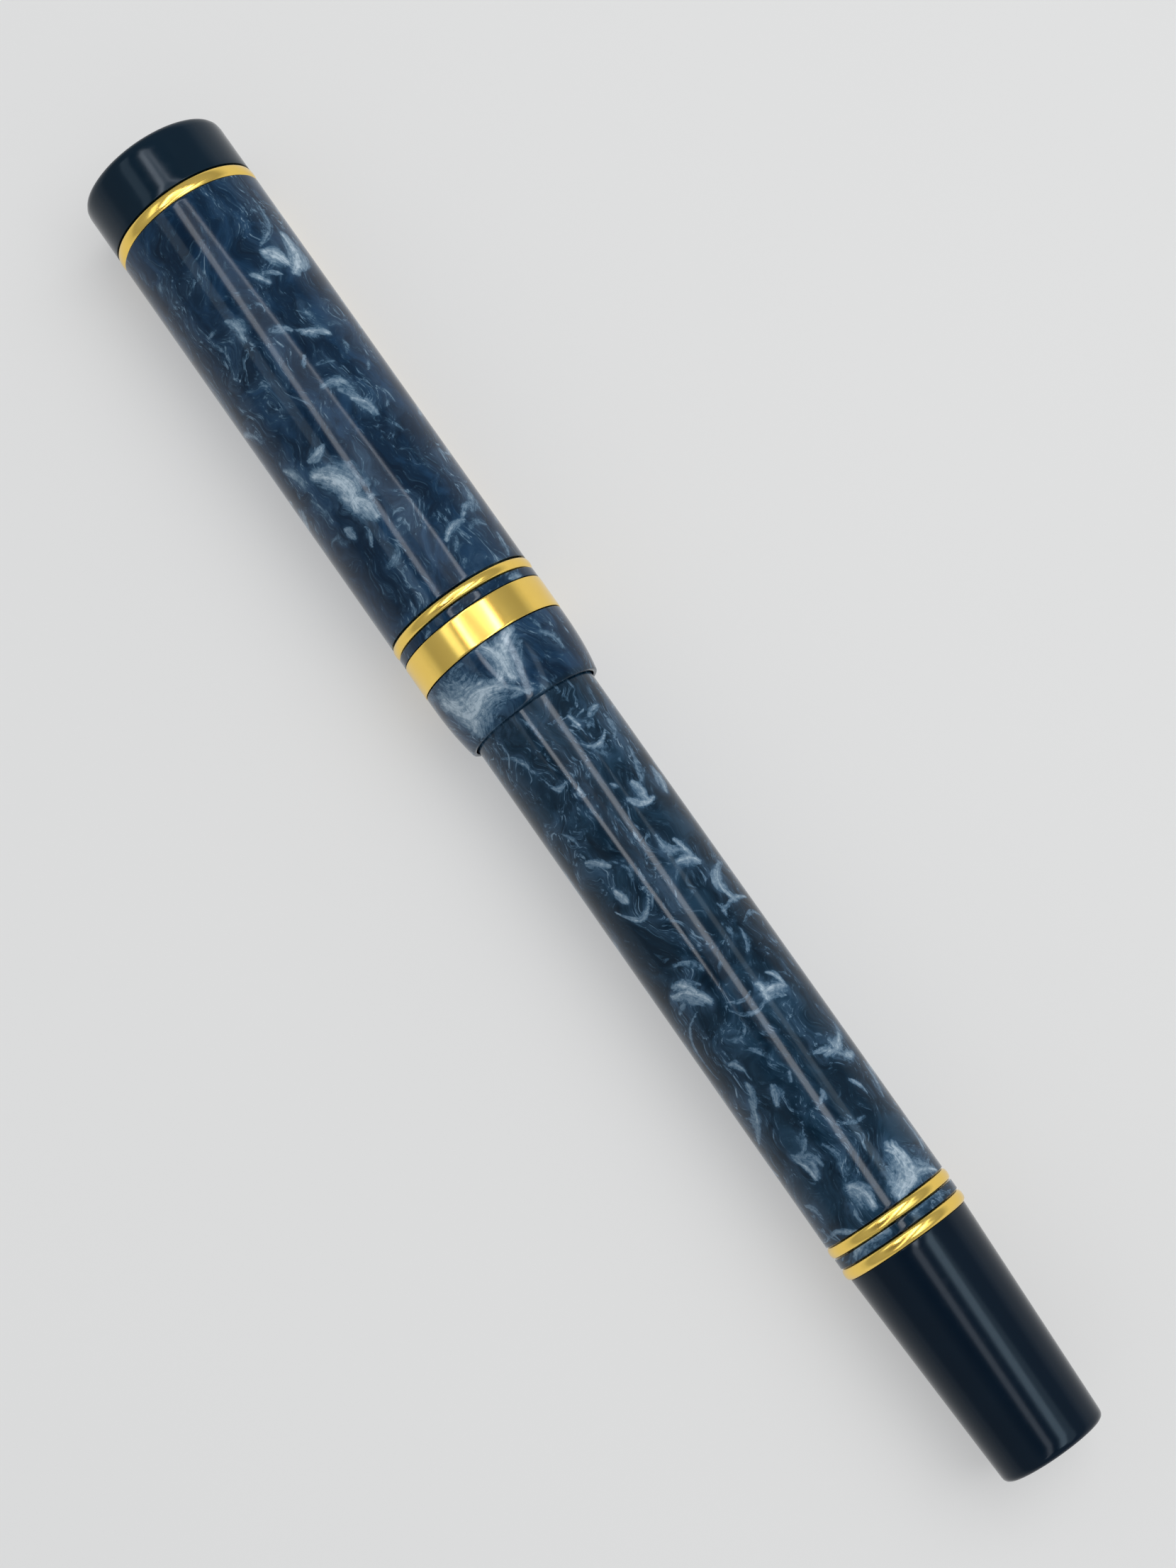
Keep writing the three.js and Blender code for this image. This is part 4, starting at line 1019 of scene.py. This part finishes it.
def feed():
    low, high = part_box("feed")
    length = high.x - low.x
    stops = {(0.0, 0)}
    for k in range(FIN_COUNT):
        start = FIN_START + k * FIN_PITCH
        stops |= {(start, 0), (start + 0.02 * MM, 1), (start + FIN_PITCH * 0.45, 1),
                  (start + FIN_PITCH * 0.45 + 0.02 * MM, 0)}
    stops |= {(length * i / 60, 0) for i in range(61) if not FIN_START < length * i / 60
              < FIN_START + FIN_COUNT * FIN_PITCH}
    sections = []
    for distance, slot in sorted(stops):
        amount = smoothstep(0, 12 * MM, distance)
        from_tip = NIB_TIP_X - (high.x - distance)
        gap = mix(0.25 * MM, 0.1 * MM, amount)
        top = min(nib_ridge(from_tip) - NIB_THICKNESS - gap, FEED_RADIUS)
        bottom = mix(top - 1.0 * MM, -FEED_RADIUS, amount)
        half = mix(0.9 * MM, FEED_RADIUS, amount)
        ring = []
        for k in range(FEED_SEGMENTS):
            angle = TAU * k / FEED_SEGMENTS
            y, z = half * math.sin(angle), mix(bottom, top, (math.cos(angle) + 1) / 2)
            cut = slot * FIN_DEPTH * smoothstep(0.15, -0.1, math.cos(angle)) if slot else 0
            shrink = 1 - cut / max(math.hypot(y, z - (top + bottom) / 2), 1e-6)
            middle = (top + bottom) / 2
            ring.append(Vector((high.x - distance, y * shrink, AXIS_Z + middle + (z - middle) * shrink)))
        sections.append(ring)
    piece("feed", loft(sections), MATERIALS["feed_plastic"])


# ---- Converter --------------------------------------------------------------------------

TUBE_BORE = 2.85 * MM


def converter_mouth():
    part = span("converter_mouth")
    shoulder, socket_end = from_crown(61), from_crown(59.5)
    plug, socket, ink_hole = TUBE_BORE - CLEARANCE, 1.35 * MM, 0.8 * MM
    tube_piece("converter_mouth", [
        (part.front, part.radius, 0.25 * MM), (shoulder, part.radius, 0.05 * MM), (shoulder, plug),
        (part.back, plug, 0.2 * MM), (part.back, ink_hole), (socket_end, ink_hole),
        (socket_end, socket), (part.front, socket, 0.3 * MM),
    ], "inner_plastic", INNER_SEGMENTS)


def converter_tube():
    sleeve("converter_tube", TUBE_BORE, "clear_plastic", 0.08 * MM, 0.05 * MM)


def converter_sleeve():
    part = span("converter_sleeve")
    bore, groove, corner = 3.35 * MM, part.radius - 0.08 * MM, 0.05 * MM
    tube_piece("converter_sleeve", [
        (part.front, part.radius, 0.12 * MM), (part.front - 1.2 * MM, part.radius, corner),
        (part.front - 1.3 * MM, groove, corner), (part.front - 1.6 * MM, groove, corner),
        (part.front - 1.7 * MM, part.radius, corner), (part.back, part.radius, 0.15 * MM),
        (part.back, bore, corner), (part.front, bore, corner),
    ], "chrome_sleeve", INNER_SEGMENTS)


def converter_nut():
    sleeve("converter_nut", 1.25 * MM, "thread_brass", 0.1 * MM)


def converter_rod():
    part = span("converter_rod")
    core = 0.95 * MM
    thread = helix(part.front, part.back, 2.9 * MM, part.radius - core, core)
    solid_piece("converter_rod", [
        (part.front, 0), (part.front, core), (part.back, core), (part.back, 0),
    ], "inner_plastic", 48, thread, 0.2 * MM)


def converter_piston():
    part = span("converter_piston")
    land, waist, lip_round = 1.25 * MM, 2.3 * MM, 0.25 * MM
    solid_piece("converter_piston", [
        (part.front, 0), (part.front, part.radius, lip_round), (part.front - land, part.radius, lip_round),
        (part.front - land, waist, 0.1 * MM), (part.back + land, waist, 0.1 * MM),
        (part.back + land, part.radius, lip_round), (part.back, part.radius, lip_round), (part.back, 0),
    ], "piston_seal", INNER_SEGMENTS)


KNURLS = 28
KNURL_DEPTH = 0.16 * MM


def converter_knob():
    part = span("converter_knob")
    stem_end = from_crown(108.6)
    grip_front, grip_back = stem_end - 1.2 * MM, part.back + 1.6 * MM
    bore, stem, bore_end = 1.5 * MM, 3.25 * MM, from_crown(121)

    def knurl(x, radius, angle):
        if radius < part.radius - 0.02 * MM:
            return 0
        along = (smoothstep(grip_back, grip_back + 0.3 * MM, x)
                 * smoothstep(grip_front, grip_front - 0.3 * MM, x))
        return -KNURL_DEPTH * along * (0.5 + 0.5 * math.cos(KNURLS * angle)) ** 2

    solid_piece("converter_knob", [
        (bore_end, 0), (bore_end, bore), (part.front, bore, 0.05 * MM), (part.front, stem, 0.1 * MM),
        (stem_end, stem), (stem_end, part.radius, 0.1 * MM),
        (part.back, part.radius, 0.6 * MM), (part.back, 0),
    ], "inner_plastic", 224, knurl, 0.3 * MM)


# ---- The photograph's camera, floor and lights ------------------------------------------

def camera():
    """The photograph's viewpoint, above the cap and turned across the pen."""
    data = bpy.data.cameras.new("camera")
    data.sensor_width = 36
    data.lens = 63.25
    data.clip_start = 0.01
    data.clip_end = 10
    made = linked("camera", data)
    forward = Vector((0.13534, -0.00068, -0.99080)).normalized()
    up = Vector((0.80970, -0.57625, 0.11100))
    right = forward.cross(up).normalized()
    up = right.cross(forward)
    turn = Matrix((right, up, -forward)).transposed()
    made.matrix_world = Matrix.Translation((-0.032207, 0, 0.241836)) @ turn.to_4x4()
    bpy.context.scene.camera = made
    return right, up


def floor():
    work = bmesh.new()
    bmesh.ops.create_grid(work, x_segments=8, y_segments=8, size=1.6)
    mesh = finish_mesh(work, "floor")
    mesh.materials.append(paper_floor())
    made = linked("floor", mesh)
    made.location = (0, 0, cad_low.z - 0.01 * MM)


def area_light(name, location, width, length, radiance, colour, along, back, glossy=True, diffuse=True):
    """A flat light that shines away from its back. Its length runs along a direction."""
    data = bpy.data.lights.new(name, "AREA")
    data.shape = "RECTANGLE"
    data.size = width
    data.size_y = length
    data.energy = radiance * math.pi * width * length
    data.color = colour
    made = linked(name, data)
    side = along.cross(back).normalized()
    made.matrix_world = Matrix.Translation(location) @ Matrix(
        (side, back.cross(side), back)).transposed().to_4x4()
    made.visible_camera = False
    made.visible_glossy = glossy
    made.visible_diffuse = diffuse


def studio(right, up):
    across = Vector((right.x, right.y, 0)).normalized()
    along = Vector((up.x, up.y, 0)).normalized()
    height = 0.307
    warm = (1.0, 0.90, 0.88)

    def at(side, ahead, z=height):
        return across * side + along * ahead + Vector((0, 0, z))

    def strip(name, start, end, width, radiance, colour=warm, z=height):
        """A light hung level from one end to the other, seen only in reflections."""
        a, b = at(*start, z), at(*end, z)
        area_light(name, (a + b) / 2, width, (b - a).length, radiance, colour, b - a, Vector((0, 0, 1)),
                   diffuse=False)

    strip("frame_far", (-0.100, 0.188), (0.093, 0.185), 0.014, 7.0)
    strip("frame_right", (0.087, 0.185), (0.064, -0.040), 0.040, 7.4)
    strip("frame_end", (0.064, -0.040), (0.046, -0.300), 0.045, 2.6)
    strip("frame_left", (-0.112, 0.187), (-0.126, 0.005), 0.032, 7.0)
    strip("frame_near", (-0.125, 0.003), (-0.045, -0.035), 0.028, 9.0)
    strip("panel", (-0.012, 0.190), (-0.012, 0.030), 0.200, 0.66, (1.0, 0.96, 0.98), height + 0.002)
    strip("panel_cap", (-0.014, 0.190), (-0.014, 0.088), 0.190, 0.85, (1.0, 0.95, 1.0), height + 0.003)
    strip("panel_barrel", (-0.024, 0.042), (-0.024, -0.010), 0.170, 0.75, (1.0, 0.93, 0.97), height + 0.003)
    strip("side_right", (0.238, 0.230), (0.220, 0.070), 0.060, 1.9, (0.88, 0.95, 1.0))
    strip("side_end", (0.215, 0.070), (0.200, -0.150), 0.080, 3.0, (0.88, 0.96, 1.0))
    strip("fill_end", (0.310, 0.080), (0.290, -0.160), 0.300, 0.85, (0.86, 0.97, 1.0), height + 0.003)
    strip("side_left", (-0.290, 0.150), (-0.235, -0.080), 0.110, 1.2, (0.88, 0.95, 1.0))
    key_at = at(0.22, 0.17, 0.62)
    area_light("key", key_at, 0.55, 0.55, 2.75, (1.0, 1.0, 1.0), along, key_at.normalized(), glossy=False)

    world = bpy.data.worlds.new("studio")
    world.use_nodes = True
    tree = world.node_tree
    tree.nodes.clear()
    place_on, split, ramp, shade, out = (tree.nodes.new("ShaderNode" + kind) for kind in (
        "TexCoord", "SeparateXYZ", "ValToRGB", "Background", "OutputWorld"))
    for source, target in ((place_on.outputs["Generated"], split), (split.outputs[2], ramp),
                           (ramp.outputs[0], shade), (shade.outputs[0], out)):
        tree.links.new(source, target.inputs[0])
    # Brightness by height above the horizon: pale walls, then a darker ceiling overhead.
    stops = ((0.06, 0.66), (0.22, 0.37), (0.50, 0.42), (0.72, 0.46), (0.92, 0.17))
    for _ in stops[2:]:
        ramp.color_ramp.elements.new(1.0)
    for element, (position, grey) in zip(ramp.color_ramp.elements, stops):
        element.position = position
        element.color = (grey * 0.965, grey, grey * 1.035, 1)
    bpy.context.scene.world = world
    bpy.context.scene.view_settings.view_transform = "Standard"


for make in (cap_crown, clip_collar, clip_arm, cap_tube, cap_lip, inner_cap, barrel_tube, barrel_bush,
             tail_cap, grip_section, section_connector, nib_housing, nib_piece, nib_tipping, feed,
             converter_mouth, converter_tube, converter_sleeve, converter_nut, converter_rod,
             converter_piston, converter_knob):
    make()
trim_ring("cap_band_narrow", CAP_RING_EDGE, BAND_BORE)
flat_ring("cap_band_wide", BAND_BORE)
trim_ring("barrel_ring_upper", BARREL_RING_EDGE, RING_BORE)
trim_ring("barrel_ring_lower", BARREL_RING_EDGE, RING_BORE)
spacer("cap_spacer", BAND_BORE)
spacer("barrel_spacer", RING_BORE)
floor()
studio(*camera())
